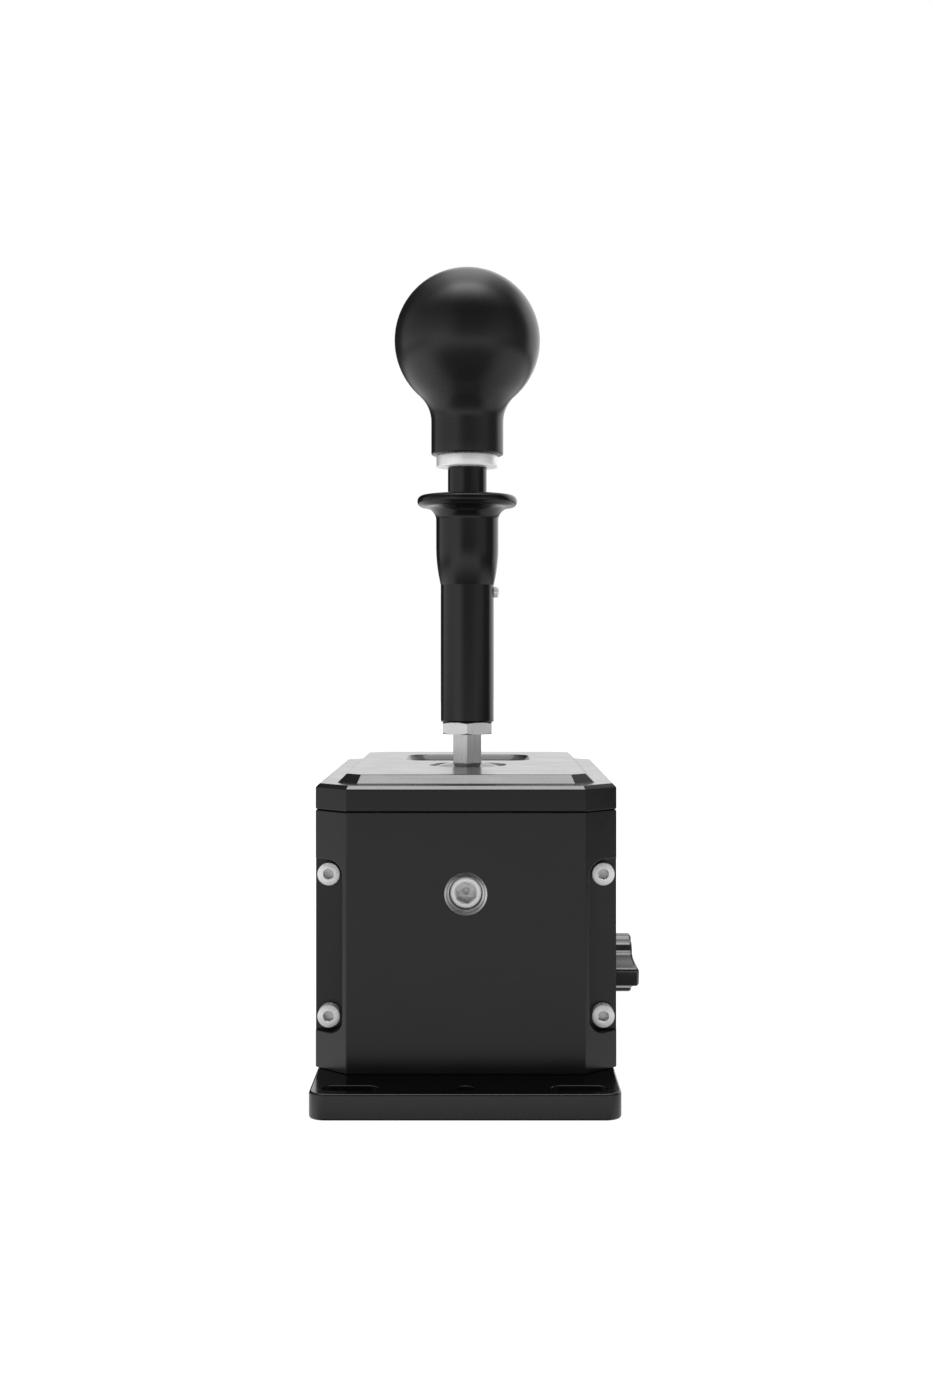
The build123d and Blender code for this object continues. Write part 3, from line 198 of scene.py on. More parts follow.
def lay(piece, axis, place):
    """Turn a piece modelled up the Z axis along another axis and move it to its place."""
    piece.rotation_euler = TURNS[axis]
    piece.location = Vector(place) * MM
    return settle(piece)


def bar(name, foot, length, radius, axis="Z", sides=48, turn=0.0):
    """Round or many-sided stock from a foot point along an axis."""
    clear_selection()
    bpy.ops.mesh.primitive_cylinder_add(
        vertices=sides, radius=radius * MM, depth=length * MM, location=(0, 0, 0))
    piece = name_new(name)
    piece.rotation_euler = (0, 0, turn)
    settle(piece)
    return lay(piece, axis, Vector(foot) + AXES[axis] * (length / 2))


def hexagon(name, foot, length, across, axis="Z", turn=0.0):
    return bar(name, foot, length, across / math.sqrt(3), axis, 6, turn)


def turned(name, foot, profile, axis="Z", sides=96):
    """Piece turned on a lathe from (radius, height) points."""
    clear_selection()
    out, up = OUTS[axis], AXES[axis]
    places = [(Vector(foot) + out * r + up * h) * MM for r, h in profile]
    bpy.ops.mesh.primitive_plane_add(size=MM, location=places[0])
    piece = name_new(name)
    settle(piece)
    edit(piece, "VERT")
    bpy.ops.mesh.select_all(action="SELECT")
    bpy.ops.mesh.merge(type="CENTER")
    for start, end in zip(places, places[1:]):
        bpy.ops.mesh.extrude_region_move(TRANSFORM_OT_translate={"value": end - start})
    bpy.ops.mesh.select_all(action="SELECT")
    bpy.ops.mesh.spin(steps=sides, angle=math.tau, center=Vector(foot) * MM, axis=up)
    bpy.ops.mesh.select_all(action="SELECT")
    bpy.ops.mesh.remove_doubles(threshold=0.002 * MM)
    bpy.ops.mesh.normals_make_consistent(inside=False)
    leave_edit()
    return piece


def arc(centre_r, centre_h, radius, start, end, steps):
    """Points on an arc, angles in degrees."""
    points = []
    for i in range(steps + 1):
        angle = math.radians(start + (end - start) * i / steps)
        points.append((centre_r + radius * math.cos(angle), centre_h + radius * math.sin(angle)))
    return points


def combine(piece, other, operation):
    """Boolean of a piece with another one, which is used up."""
    take(piece)
    modifier = piece.modifiers.new("combine", "BOOLEAN")
    modifier.operation = operation
    modifier.object = other
    modifier.solver = "EXACT"
    bpy.ops.object.modifier_apply(modifier="combine")
    bpy.data.objects.remove(other)
    return piece


def cut(piece, *cutters):
    for cutter in cutters:
        combine(piece, cutter, "DIFFERENCE")
    return piece


def break_edges(piece, width, steps=2, angle=35.0):
    """Soften the sharp edges as a deburring pass does."""
    take(piece)
    soft = piece.modifiers.new("edges", "BEVEL")
    soft.width = width * MM
    soft.segments = steps
    soft.limit_method = "ANGLE"
    soft.angle_limit = math.radians(angle)
    soft.use_clamp_overlap = True
    bpy.ops.object.modifier_apply(modifier="edges")
    return piece


def rounded_outline(x, y, reach_x=0.0, reach_y=0.0, radius=1.0, axes=(0, 1)):
    """Distance of a point to a round or round-cornered outline."""
    def distance(p):
        across = max(abs(p[axes[0]] - x) - reach_x, 0)
        along = max(abs(p[axes[1]] - y) - reach_y, 0)
        return math.hypot(across, along) - radius
    return distance


def soften_mouth(piece, width, axis, level, outline):
    """Break the edge where a hole or slot meets a flat face."""
    return bevel_edges(piece, width, 2, lambda a, b: all(
        abs(p[axis] - level) < 0.05 and abs(outline(p)) < 0.06 for p in (a, b, (a + b) / 2)))


def rounded_cutter(name, low, high, radius, along="Z", steps=10, test=None):
    """Block with its edges along one axis rounded, all of them or those that pass a test."""
    index = "XYZ".index(along)
    return bevel_edges(slab(name, low, high), radius, steps, lambda a, b: (
        abs(a[index] - b[index]) > 0.01 and (test is None or test(a))))


def smooth(piece, angle=24.0):
    take(piece)
    bpy.ops.object.shade_smooth_by_angle(angle=math.radians(angle))
    return piece


def panel_smooth(piece, angle=50.0):
    """Smooth rounded edges while the flats between them stay flat."""
    smooth(piece, angle)
    flat = piece.modifiers.new("normals", "WEIGHTED_NORMAL")
    flat.mode = "FACE_AREA"
    flat.weight = 100
    flat.keep_sharp = True
    bpy.ops.object.modifier_apply(modifier="normals")
    return piece


def join(name, pieces):
    take(*pieces)
    bpy.ops.object.join()
    return name_new(name)


def paint_faces(piece, materials, choose):
    """Give each face one of the materials by its centre (millimetres) and normal."""
    piece.data.materials.clear()
    for material in materials:
        piece.data.materials.append(material)
    for face in piece.data.polygons:
        face.material_index = choose(Vector(face.center) / MM, face.normal)
    return piece


def fit(piece, body, material, slot, *nodes):
    """Finish a piece: its material, its body and the nodes that it stands for."""
    if material:
        piece.data.materials.clear()
        piece.data.materials.append(material)
    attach(piece, body)
    if nodes:
        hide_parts(*nodes)
    return piece


# Materials

class Finish:
    """A material with the shader ready and short calls for the nodes round it."""

    def __init__(self, name, color, roughness, metallic=0.0, **sockets):
        self.material = bpy.data.materials.new(name)
        self.material.use_nodes = True
        self.tree = self.material.node_tree
        self.shader = self.tree.nodes["Principled BSDF"]
        self.shader.inputs["Base Color"].default_value = (*color, 1)
        self.shader.inputs["Roughness"].default_value = roughness
        self.shader.inputs["Metallic"].default_value = metallic
        for socket, value in sockets.items():
            self.shader.inputs[socket.replace("_", " ")].default_value = value
        self.place = self.node("ShaderNodeTexCoord").outputs["Object"]

    def node(self, kind):
        return self.tree.nodes.new(kind)

    def link(self, output, socket):
        self.tree.links.new(output, socket)

    def grain(self, scale, stretch=(1, 1, 1), detail=4.0, roughness=0.55):
        """Noise on the piece, with its own stretch along each axis."""
        mapping = self.node("ShaderNodeMapping")
        mapping.inputs["Scale"].default_value = stretch
        self.link(self.place, mapping.inputs["Vector"])
        noise = self.node("ShaderNodeTexNoise")
        noise.inputs["Scale"].default_value = scale
        noise.inputs["Detail"].default_value = detail
        noise.inputs["Roughness"].default_value = roughness
        self.link(mapping.outputs["Vector"], noise.inputs["Vector"])
        return noise.outputs["Fac"]

    def tint(self, value, dark, light, start=0.3, end=0.7):
        """Base colour between two colours by a value."""
        ramp = self.node("ShaderNodeValToRGB")
        for element, position, color in zip(
                ramp.color_ramp.elements, (start, end), (dark, light)):
            element.position = position
            element.color = (*color, 1)
        self.link(value, ramp.inputs["Fac"])
        self.link(ramp.outputs["Color"], self.shader.inputs["Base Color"])

    def rough(self, value, low, high, start=0.3, end=0.7):
        """Roughness between two numbers by a value."""
        ramp = self.node("ShaderNodeMapRange")
        ramp.inputs["From Min"].default_value = start
        ramp.inputs["From Max"].default_value = end
        ramp.inputs["To Min"].default_value = low
        ramp.inputs["To Max"].default_value = high
        self.link(value, ramp.inputs["Value"])
        self.link(ramp.outputs["Result"], self.shader.inputs["Roughness"])

    def relief(self, value, depth):
        """Bump of a depth in millimetres."""
        bump = self.node("ShaderNodeBump")
        bump.inputs["Strength"].default_value = 1.0
        bump.inputs["Distance"].default_value = depth * MM
        self.link(value, bump.inputs["Height"])
        self.link(bump.outputs["Normal"], self.shader.inputs["Normal"])

    def blend(self, one, two, share):
        mix = self.node("ShaderNodeMix")
        mix.data_type = "FLOAT"
        mix.inputs["Factor"].default_value = share
        self.link(one, mix.inputs["A"])
        self.link(two, mix.inputs["B"])
        return mix.outputs["Result"]


def anodised(name, along, line_depth=0.004, rough_low=0.24, rough_high=0.34, ior=1.5,
             dark=(0.0030, 0.0030, 0.0032), light=(0.0060, 0.0060, 0.0065)):
    """Black anodised aluminium with fine cutter lines along one axis."""
    finish = Finish(name, light, rough_low, IOR=ior)
    stretch = {"X": (0.02, 1, 1), "Y": (1, 0.02, 1), "Z": (1, 1, 0.02)}[along]
    lines = finish.grain(2600, stretch, 3.0, 0.7)
    cloud = finish.grain(60, (1, 1, 1), 5.0, 0.6)
    finish.tint(finish.blend(lines, cloud, 0.5), dark, light)
    finish.rough(finish.blend(lines, cloud, 0.45), rough_low, rough_high)
    finish.relief(lines, line_depth)
    return finish.material


def turned_metal(name, dark, light, rough_low, rough_high, depth=0.003):
    """Metal turned on a lathe about the Z axis: rings up the height."""
    finish = Finish(name, light, rough_low, 1.0)
    rings = finish.grain(3000, (0.03, 0.03, 1), 2.0, 0.6)
    cloud = finish.grain(180, (1, 1, 1), 4.0, 0.6)
    mixed = finish.blend(rings, cloud, 0.4)
    finish.tint(mixed, dark, light)
    finish.rough(mixed, rough_low, rough_high)
    finish.relief(rings, depth)
    return finish.material


def drawn_metal(name, dark, light, rough_low, rough_high):
    """Metal drawn up the Z axis: lines along the height."""
    finish = Finish(name, light, rough_low, 1.0)
    lines = finish.grain(2400, (1, 1, 0.012), 3.0, 0.7)
    finish.tint(lines, dark, light)
    finish.rough(lines, rough_low, rough_high)
    finish.relief(lines, 0.006)
    return finish.material


def plated(name, dark, light, rough_low, rough_high, metallic=1.0):
    """Bright plating with a faint mottle."""
    finish = Finish(name, light, rough_low, metallic)
    mottle = finish.grain(700, (1, 1, 1), 6.0, 0.65)
    finish.tint(mottle, dark, light)
    finish.rough(mottle, rough_low, rough_high)
    finish.relief(mottle, 0.006)
    return finish.material


def moulded(name, dark, light, rough_low, rough_high, grain_scale, depth, ior=1.5):
    """Moulded plastic with a fine spark-eroded grain."""
    finish = Finish(name, light, rough_low, 0.0, IOR=ior)
    grain = finish.grain(grain_scale, (1, 1, 1), 3.0, 0.5)
    cloud = finish.grain(40, (1, 1, 1), 4.0, 0.6)
    finish.tint(finish.blend(grain, cloud, 0.6), dark, light)
    finish.rough(finish.blend(grain, cloud, 0.5), rough_low, rough_high)
    finish.relief(grain, depth)
    return finish.material


def circuit_board(name):
    """Green solder mask with the tracks showing through."""
    finish = Finish(name, (0.01, 0.09, 0.04), 0.3)
    tracks = finish.node("ShaderNodeTexBrick")
    tracks.inputs["Scale"].default_value = 260
    tracks.inputs["Color1"].default_value = (0.008, 0.085, 0.035, 1)
    tracks.inputs["Color2"].default_value = (0.010, 0.105, 0.045, 1)
    tracks.inputs["Mortar"].default_value = (0.02, 0.16, 0.07, 1)
    tracks.inputs["Mortar Size"].default_value = 0.03
    finish.link(finish.place, tracks.inputs["Vector"])
    finish.link(tracks.outputs["Color"], finish.shader.inputs["Base Color"])
    finish.relief(tracks.outputs["Fac"], 0.02)
    finish.rough(finish.grain(300), 0.25, 0.35)
    return finish.material


black_lid = anodised("anodised_lid", "X", 0.001, 0.26, 0.34, 1.46)
black_plateau = anodised("anodised_plateau", "X", 0.0015, 0.20, 0.28, 1.6)
# Lighter, more reflective copy of the lid's anodising for the front and rear facets: painted
# light, over real cutter lines
facet_painted_light = anodised(
    "anodised_facet_painted_light", "X", 0.006, 0.14, 0.30, 1.82, (0.004, 0.004, 0.004), (0.02, 0.02, 0.02))
black_cover = anodised("anodised_cover", "X", 0.0008, 0.26, 0.34, 1.5)
black_wall = anodised("anodised_wall", "Y", 0.0008, 0.26, 0.34, 1.5)
black_base = anodised("anodised_base", "X", 0.0008, 0.24, 0.32, 1.56)
# Darker copy of the base's anodising for its top faces: painted shade under the housing
black_base_top_shaded = anodised(
    "anodised_base_top_shaded", "Y", 0.0006, 0.15, 0.20, 1.36, (0.0008, 0.0008, 0.0008),
    (0.0016, 0.0016, 0.0017))
black_collar = moulded(
    "satin_black_collar", (0.003, 0.003, 0.0032), (0.005, 0.005, 0.0053), 0.16, 0.22, 2600, 0.002,
    1.43)
knob_black = moulded(
    "knob_soft_black", (0.007, 0.007, 0.0075), (0.011, 0.011, 0.0115), 0.24, 0.30, 3200, 0.002,
    1.42)
dial_black = moulded(
    "dial_black", (0.012, 0.012, 0.0125), (0.02, 0.02, 0.021), 0.20, 0.28, 2200, 0.003, 1.85)
satin_steel = turned_metal("satin_steel", (0.50, 0.50, 0.51), (0.70, 0.70, 0.71), 0.26, 0.38)
drawn_steel = drawn_metal("drawn_hex_steel", (0.46, 0.46, 0.47), (0.76, 0.76, 0.77), 0.22, 0.40)
bright_zinc = plated("bright_zinc", (0.90, 0.90, 0.91), (0.98, 0.98, 0.98), 0.26, 0.40, 0.45)
# Darker, duller zinc for the inside of hexagon sockets: painted shade in the recess
socket_shaded_zinc = plated("socket_shaded_zinc", (0.55, 0.55, 0.55), (0.96, 0.96, 0.96), 0.30, 0.45, 0.25)
dome_steel = turned_metal(
    "polished_dome_steel", (0.40, 0.40, 0.41), (0.50, 0.50, 0.51), 0.14, 0.22, 0.001)
dome_steel.node_tree.nodes["Principled BSDF"].inputs["Specular Tint"].default_value = (
    0.5, 0.5, 0.5, 1)
# Bare milled aluminium for the aluminium parts; on the lid it also lines the lever hole, where it
# is painted light lifting the shade in the gap round the dome
milled_aluminium_and_hole_light = turned_metal(
    "milled_aluminium_and_hole_light", (0.52, 0.53, 0.54), (0.66, 0.67, 0.68), 0.30, 0.45, 0.006)
spring_wire = plated("spring_wire", (0.30, 0.30, 0.31), (0.44, 0.44, 0.45), 0.25, 0.35)
turned_brass = turned_metal("turned_brass", (0.55, 0.38, 0.14), (0.72, 0.52, 0.22), 0.20, 0.32)
natural_nylon = moulded(
    "natural_nylon", (0.55, 0.53, 0.47), (0.70, 0.68, 0.62), 0.40, 0.50, 900, 0.01)
magnet_nickel = plated("magnet_nickel", (0.55, 0.54, 0.52), (0.66, 0.65, 0.63), 0.12, 0.2)
solder_mask = circuit_board("solder_mask_green")

# The nodes that stay as they are get their finish here
node_finish = {
    "black_anodised": black_wall, "black_satin": black_collar, "knob_black": knob_black,
    "steel": satin_steel, "bright_steel": bright_zinc, "dome_steel": dome_steel,
    "plain_aluminium": milled_aluminium_and_hole_light, "spring_steel": spring_wire, "brass": turned_brass,
    "nylon": natural_nylon, "dial_black": dial_black, "board_green": solder_mask,
    "magnet": magnet_nickel,
}
for entry in frame["record"]["subparts"]:
    node = frame["nodes"][entry["node"]]
    node.data.materials.clear()
    node.data.materials.append(node_finish[entry["material_slot"]])


# Lid: cut corners, bevelled rim, raised plateau, lever hole, shallow window

def cut_corner_block(name, ends_y, ends_z):
    """Block as wide as the housing, with its corners at the housing's front and rear cut."""
    block = slab(name, (-HALF_WIDTH, ends_y[0], ends_z[0]), (HALF_WIDTH, ends_y[1], ends_z[1]))
    return bevel_edges(block, CORNER_CUT, 1, lambda a, b: (
        abs(a.z - b.z) > 1 and abs(abs(a.y) - HALF_DEPTH) < 0.1))


def window_cutter():
    """Rounded block whose sides lean in by 45 degrees towards the window's floor."""
    floor_z = PLATEAU_TOP - WINDOW_DEPTH
    half_x, half_y = WINDOW_WIDTH / 2, WINDOW_LENGTH / 2
    cutter = rounded_cutter("window_room", (-half_x, WINDOW_Y - half_y, floor_z),
                            (half_x, WINDOW_Y + half_y, PLATEAU_TOP), WINDOW_CORNER)
    edit(cutter, "VERT")
    pick_points(cutter, lambda p: p.z < PLATEAU_TOP - 1)
    bpy.ops.transform.resize(
        value=(1 - WINDOW_DEPTH / half_x, 1 - WINDOW_DEPTH / half_y, 1),
        center_override=(0, WINDOW_Y * MM, floor_z * MM))
    edit(cutter)
    pick_faces(cutter, lambda c, n: n.z > 0.9)
    bpy.ops.mesh.extrude_region_move(TRANSFORM_OT_translate={"value": (0, 0, 5 * MM)})
    leave_edit()
    return cutter


def on_rim(p):
    """Is this point on the top edge of the lid's outer faces?"""
    return p.z > RIM_TOP - 0.1 and (
        abs(abs(p.x) - HALF_WIDTH) < 0.1 or abs(abs(p.y) - HALF_DEPTH) < 0.1)


def past_outline(p):
    """Distance of a point past the outline of the housing, negative inside."""
    corner = (abs(p.x) + abs(p.y) - HALF_WIDTH - HALF_DEPTH + CORNER_CUT) / math.sqrt(2)
    return max(abs(p.x) - HALF_WIDTH, abs(p.y) - HALF_DEPTH, corner)


lid = cut_corner_block("lid_plate", (-HALF_DEPTH, HALF_DEPTH), (HOUSING_TOP, RIM_TOP))
edit(lid)
pick_faces(lid, lambda c, n: n.z > 0.9)
bpy.ops.mesh.inset(thickness=RIM_BEVEL * MM, depth=0)
edit(lid, "EDGE")
pick_edges(lid, lambda a, b: on_rim(a) and on_rim(b))
bpy.ops.transform.translate(value=(0, 0, -RIM_BEVEL * MM))
bpy.ops.mesh.select_mode(type="FACE")
pick_faces(lid, lambda c, n: n.z > 0.99 and c.z > RIM_TOP - 0.1)
bpy.ops.mesh.inset(thickness=(RIM_WIDTH - RIM_BEVEL) * MM, depth=0)
bpy.ops.mesh.inset(thickness=PLATEAU_RISE * MM, depth=PLATEAU_RISE * MM)
leave_edit()
break_edges(lid, 0.22, 2, 28)
cut(
    lid,
    bar("lever_hole", (0, LEVER_Y, 80), 30, LEVER_HOLE_RADIUS, sides=96),
    turned("dome_room", (0, LEVER_Y, PIVOT_Z), arc(0, 0, DOME_ROOM_RADIUS, 90, 40, 24)
           + [(0, 24.17), (0, DOME_ROOM_RADIUS)]),
    window_cutter(),
)
# The lid stands clear of the covers at its outer edge, which leaves a shadow line
edit(lid)
pick_faces(lid, lambda c, n: n.z < -0.9 and c.z < HOUSING_TOP + 0.1)
bpy.ops.mesh.inset(thickness=1.0 * MM, depth=0)
edit(lid, "VERT")
pick_points(lid, lambda p: p.z < HOUSING_TOP + 0.3 and past_outline(p) > -0.6)
bpy.ops.transform.translate(value=(0, 0, SHADOW_GAP * MM))
leave_edit()
for mouth in (rounded_outline(0, LEVER_Y, radius=LEVER_HOLE_RADIUS),
              rounded_outline(0, WINDOW_Y, WINDOW_WIDTH / 2 - WINDOW_CORNER,
                              WINDOW_LENGTH / 2 - WINDOW_CORNER, WINDOW_CORNER)):
    soften_mouth(lid, 0.2, 2, PLATEAU_TOP, mouth)
panel_smooth(lid)


def lid_finish(centre, normal):
    """Number of the material of a face: level, front and rear facet (a lighter copy, painted
    light), lever hole, or the rest.
    """
    if normal.z > 0.95 and centre.z > RIM_TOP - 0.1:
        return 1
    # Front and rear facets take the lighter copy: painted light
    if 0.4 < normal.z < 0.95 and abs(normal.y) > 0.6 and abs(normal.x) < 0.3:
        return 2
    # Lever hole wall and mouth take bare aluminium: painted light over the shade in the gap round
    # the dome
    from_lever = math.hypot(centre.x, centre.y - LEVER_Y)
    if from_lever < LEVER_HOLE_RADIUS + 0.2 and centre.z > RIM_TOP:
        return 3
    return 0


paint_faces(lid, [black_lid, black_plateau, facet_painted_light, milled_aluminium_and_hole_light], lid_finish)
fit(lid, "housing", None, "black_anodised", "lid")


# Covers with their screw pockets and bores

def screw_pocket(side_x, side_y):
    """Pocket for two screws, open to the front or rear and to the side."""
    inner = SCREW_X - POCKET_REACH
    low_x, high_x = sorted((side_x * inner, side_x * (HALF_WIDTH + PAST)))
    low_y, high_y = sorted((side_y * (HALF_DEPTH - POCKET_DEPTH), side_y * (HALF_DEPTH + PAST)))
    low_z, high_z = SCREW_HEIGHTS[0] - POCKET_REACH, SCREW_HEIGHTS[1] + POCKET_REACH
    return rounded_cutter("pocket_room", (low_x, low_y, low_z), (high_x, high_y, high_z),
                          POCKET_CORNER, "Y", 10, lambda p: abs(abs(p.x) - inner) < 0.1)


def on_pocket_edge(p):
    """Is this point on the edge of a pocket, in the face of a cut corner?"""
    corner = HALF_WIDTH + HALF_DEPTH - CORNER_CUT
    return (abs(abs(p.x) + abs(p.y) - corner) < 0.05
            and SCREW_X - 5 < abs(p.x) < HALF_WIDTH - 0.02
            and SCREW_HEIGHTS[0] - 5 < p.z < SCREW_HEIGHTS[1] + 5)


def make_cover(name, side, cutters, mouth_break, mouth, node):
    """Cover on the front (-1) or rear (1) of the housing, with the mouth of its bore softened."""
    ends_y = sorted((side * HALF_DEPTH, side * (HALF_DEPTH - COVER_THICK)))
    cover = cut_corner_block(name, ends_y, (HOUSING_LOW, HOUSING_TOP))
    break_edges(cover, PANEL_BREAK, 2, 30)
    cut(cover, screw_pocket(-1, side), screw_pocket(1, side), *cutters)
    soften_mouth(cover, mouth_break, 1, side * HALF_DEPTH, mouth)
    bevel_edges(cover, 0.2, 2, lambda a, b: all(
        on_pocket_edge(p) for p in (a, b, (a + b) / 2)))
    panel_smooth(cover)
    fit(cover, "housing", black_cover, "black_anodised", node)


make_cover(
    "front_panel", -1,
    [bar("pivot_bore", (0, -HALF_DEPTH - 1, PIVOT_Z), 10.3, PIVOT_BORE_RADIUS, "Y", 72),
     bar("pivot_through", (0, -HALF_DEPTH - 1, PIVOT_Z), 30, 4.3, "Y", 48)],
    0.15, rounded_outline(0, PIVOT_Z, radius=PIVOT_BORE_RADIUS, axes=(0, 2)), "front_cover")
make_cover(
    "rear_panel", 1,
    [rounded_cutter("plug_recess", (-7, HALF_DEPTH - 4.5, PLUG_Z - 4),
                    (7, HALF_DEPTH + PAST, PLUG_Z + 4), 2.0, "Y", 6),
     rounded_cutter("socket_slit", (-4.6, HALF_DEPTH - 12, PLUG_Z - 1.7),
                    (4.6, HALF_DEPTH, PLUG_Z + 1.7), 1.68, "Y", 8),
     rounded_cutter("board_room", (-24, HALF_DEPTH - COVER_THICK - 1, 14),
                    (24, HALF_DEPTH - 8.0, 82), 4.0, "Y", 6)],
    0.2, rounded_outline(0, PLUG_Z, 5.0, 2.0, 2.0, (0, 2)), "rear_cover")

# Side walls, the right one with the dial's switch through it
for side, axis, name, node in ((-1, "-X", "left_panel", "left_wall"),
                               (1, "X", "right_panel", "right_wall")):
    inner = HALF_WIDTH - WALL_THICK
    low_x, high_x = sorted((side * inner, side * HALF_WIDTH))
    wall = slab(name, (low_x, -HALF_DEPTH + COVER_THICK, HOUSING_LOW),
                (high_x, HALF_DEPTH - COVER_THICK, HOUSING_TOP))
    break_edges(wall, PANEL_BREAK, 2, 30)
    cut(wall, bar("spring_seat", (side * (inner - 1), LEVER_Y, PIVOT_Z - 18.6), 3.0, 5.4, axis))
    if side > 0:
        nut_radius = 7.6
        cut(wall, bar("switch_hole", (inner - 2, 0, DIAL_Z), 14, 4.52, "X"),
            bar("nut_recess", (HALF_WIDTH - 3.5, 0, DIAL_Z), 6, nut_radius, "X", 72))
        soften_mouth(wall, 0.2, 0, HALF_WIDTH,
                     rounded_outline(0, DIAL_Z, radius=nut_radius, axes=(1, 2)))
    panel_smooth(wall)
    fit(wall, "housing", black_wall, "black_anodised", node)

# Base plate with its slots, centre holes and counterbores
base = rounded_cutter("base_slab", (-BASE_HALF_WIDTH, -BASE_HALF_LENGTH, 0),
                      (BASE_HALF_WIDTH, BASE_HALF_LENGTH, BASE_THICK), 5.0)
bevel_edges(base, 0.7, 2, lambda a, b: abs(a.z - b.z) < 0.01)
for y in (-SLOT_Y, SLOT_Y):
    for x in (-SLOT_X, SLOT_X):
        cut(base, rounded_cutter(
            "slot_room", (x - SLOT_HALF_LENGTH, y - SLOT_RADIUS, -2),
            (x + SLOT_HALF_LENGTH, y + SLOT_RADIUS, 12), SLOT_RADIUS - 0.01, "Z", 12))
        soften_mouth(base, 0.3, 2, BASE_THICK, rounded_outline(
            x, y, SLOT_HALF_LENGTH - SLOT_RADIUS, 0, SLOT_RADIUS))
    cut(base, bar("centre_hole", (0, y, -2), 14, CENTRE_HOLE_RADIUS, sides=36))
    soften_mouth(base, 0.25, 2, BASE_THICK, rounded_outline(0, y, radius=CENTRE_HOLE_RADIUS))
for x in (-30.0, 30.0):
    for y in (-61.7, 61.7):
        cut(base, bar("tie_counterbore", (x, y, -2), 6.4, 3.7, sides=36))
for x, y in ((-41.2, -30), (41.2, -30), (-41.2, 30), (41.2, 30), (-20, 30.3), (20, 30.3)):
    cut(base, bar("screw_counterbore", (x, y, -2), 5.4, 2.95, sides=36))
panel_smooth(base)
# Top faces take the darker copy: painted shade
paint_faces(base, [black_base, black_base_top_shaded],
            lambda c, n: int(n.z > 0.9 and c.z > BASE_THICK - 0.5))
fit(base, "housing", None, "black_anodised", "base_plate")


# Cap screws with knurled heads and hexagon sockets

def cap_screw(name, shank_radius, shank_length, head_radius, head_height, across,
              socket_depth, turn, knurls):
    """Cap screw up the Z axis with its head seated at the origin."""
    head = bar(name, (0, 0, 0), head_height, head_radius, sides=knurls * 2)
    edit(head)
    pick_faces(head, lambda c, n: abs(n.z) < 0.5 and math.floor(
        math.atan2(c.y, c.x) / math.tau * knurls * 2) % 2 == 0)
    bpy.ops.mesh.inset(use_individual=True, thickness=head_radius * 0.018 * MM,
                       depth=-head_radius * 0.03 * MM)
    bpy.ops.mesh.select_all(action="DESELECT")
    pick_faces(head, lambda c, n: n.z > 0.9 and abs(c.z - head_height) < 0.05)
    bpy.ops.mesh.inset(thickness=head_radius * 0.09 * MM, depth=head_radius * 0.03 * MM)
    leave_edit()
    chamfer = across * 0.30
    cut(
        head,
        hexagon("socket", (0, 0, head_height - socket_depth), socket_depth + 2, across, turn=turn),
        turned("mouth", (0, 0, head_height - across * 0.04), [
            (0, 0), (across * 0.5, 0), (across * 0.5 + chamfer, chamfer), (0, chamfer)],
            sides=48),
    )
    # Socket walls and floor take the darker zinc: painted shade
    paint_faces(head, [bright_zinc, socket_shaded_zinc], lambda c, n: int(
        c.z < head_height - 0.12 and math.hypot(c.x, c.y) < across * 0.56))
    shank = turned(name + "_shank", (0, 0, 0), [
        (0, 0.02), (shank_radius, 0.02), (shank_radius, -shank_length + 0.5),
        (shank_radius - 0.5, -shank_length), (0, -shank_length)], sides=32)
    return join(name, [head, shank])


def copy_to(master, axis, place):
    """Copy of a piece modelled up the Z axis, with its own mesh, laid along an axis."""
    take(master)
    bpy.ops.object.duplicate()
    return lay(bpy.context.object, axis, place)


cover_screw = cap_screw("cover_screw", shank_radius=2.0, shank_length=17.0, head_radius=3.5,
                        head_height=3.9, across=3.1, socket_depth=2.4, turn=math.radians(4),
                        knurls=30)
for side, axis, name, node in ((-1, "-Y", "front_cap_screws", "front_cover_screws"),
                               (1, "Y", "rear_cap_screws", "rear_cover_screws")):
    screws = [copy_to(cover_screw, axis, (x, side * (HALF_DEPTH - POCKET_DEPTH), z))
              for x in (-SCREW_X, SCREW_X) for z in SCREW_HEIGHTS]
    fit(smooth(join(name, screws), 32), "housing", None, "bright_steel", node)
bpy.data.objects.remove(cover_screw)

# Pivot: cone-mouthed ring and shoulder bolt
ring = turned("pivot_cone_ring", (0, -HALF_DEPTH, PIVOT_Z), [
    (5.2, -9.3), (5.2, -1.5), (5.28, -1.3), (5.72, -1.05), (5.8, -1.1), (5.84, -1.7),
    (5.94, -1.7), (5.98, -0.4), (6.04, -0.28), (6.5, -0.04), (6.62, -0.02), (6.7, -0.12),
    (6.7, -9.3), (5.2, -9.3)], "-Y")
fit(smooth(ring, 30), "housing", satin_steel, "bright_steel", "pivot_ring")

bolt = turned("front_shoulder_bolt", (0, 0, 0), [
    (0, -21.0), (2.6, -21.0), (3.0, -20.6), (3.0, -3.0), (4.0, -3.0), (4.0, 0), (4.7, 0),
    (4.95, 0.25), (4.95, 5.4)] + arc(4.35, 5.4, 0.6, 0, 90, 6) + [(0, 6.0)])
cut(
    bolt,
    hexagon("socket", (0, 0, 1.4), 7, 6.2, turn=math.radians(8)),
    turned("mouth", (0, 0, 5.55), [(0, 0), (3.1, 0), (4.1, 1.0), (0, 1.0)], sides=48),
    turned("drill_point", (0, 0, 1.4), [(0, -1.5), (1.2, -0.8), (1.2, 0.5), (0, 0.5)], sides=32),
)
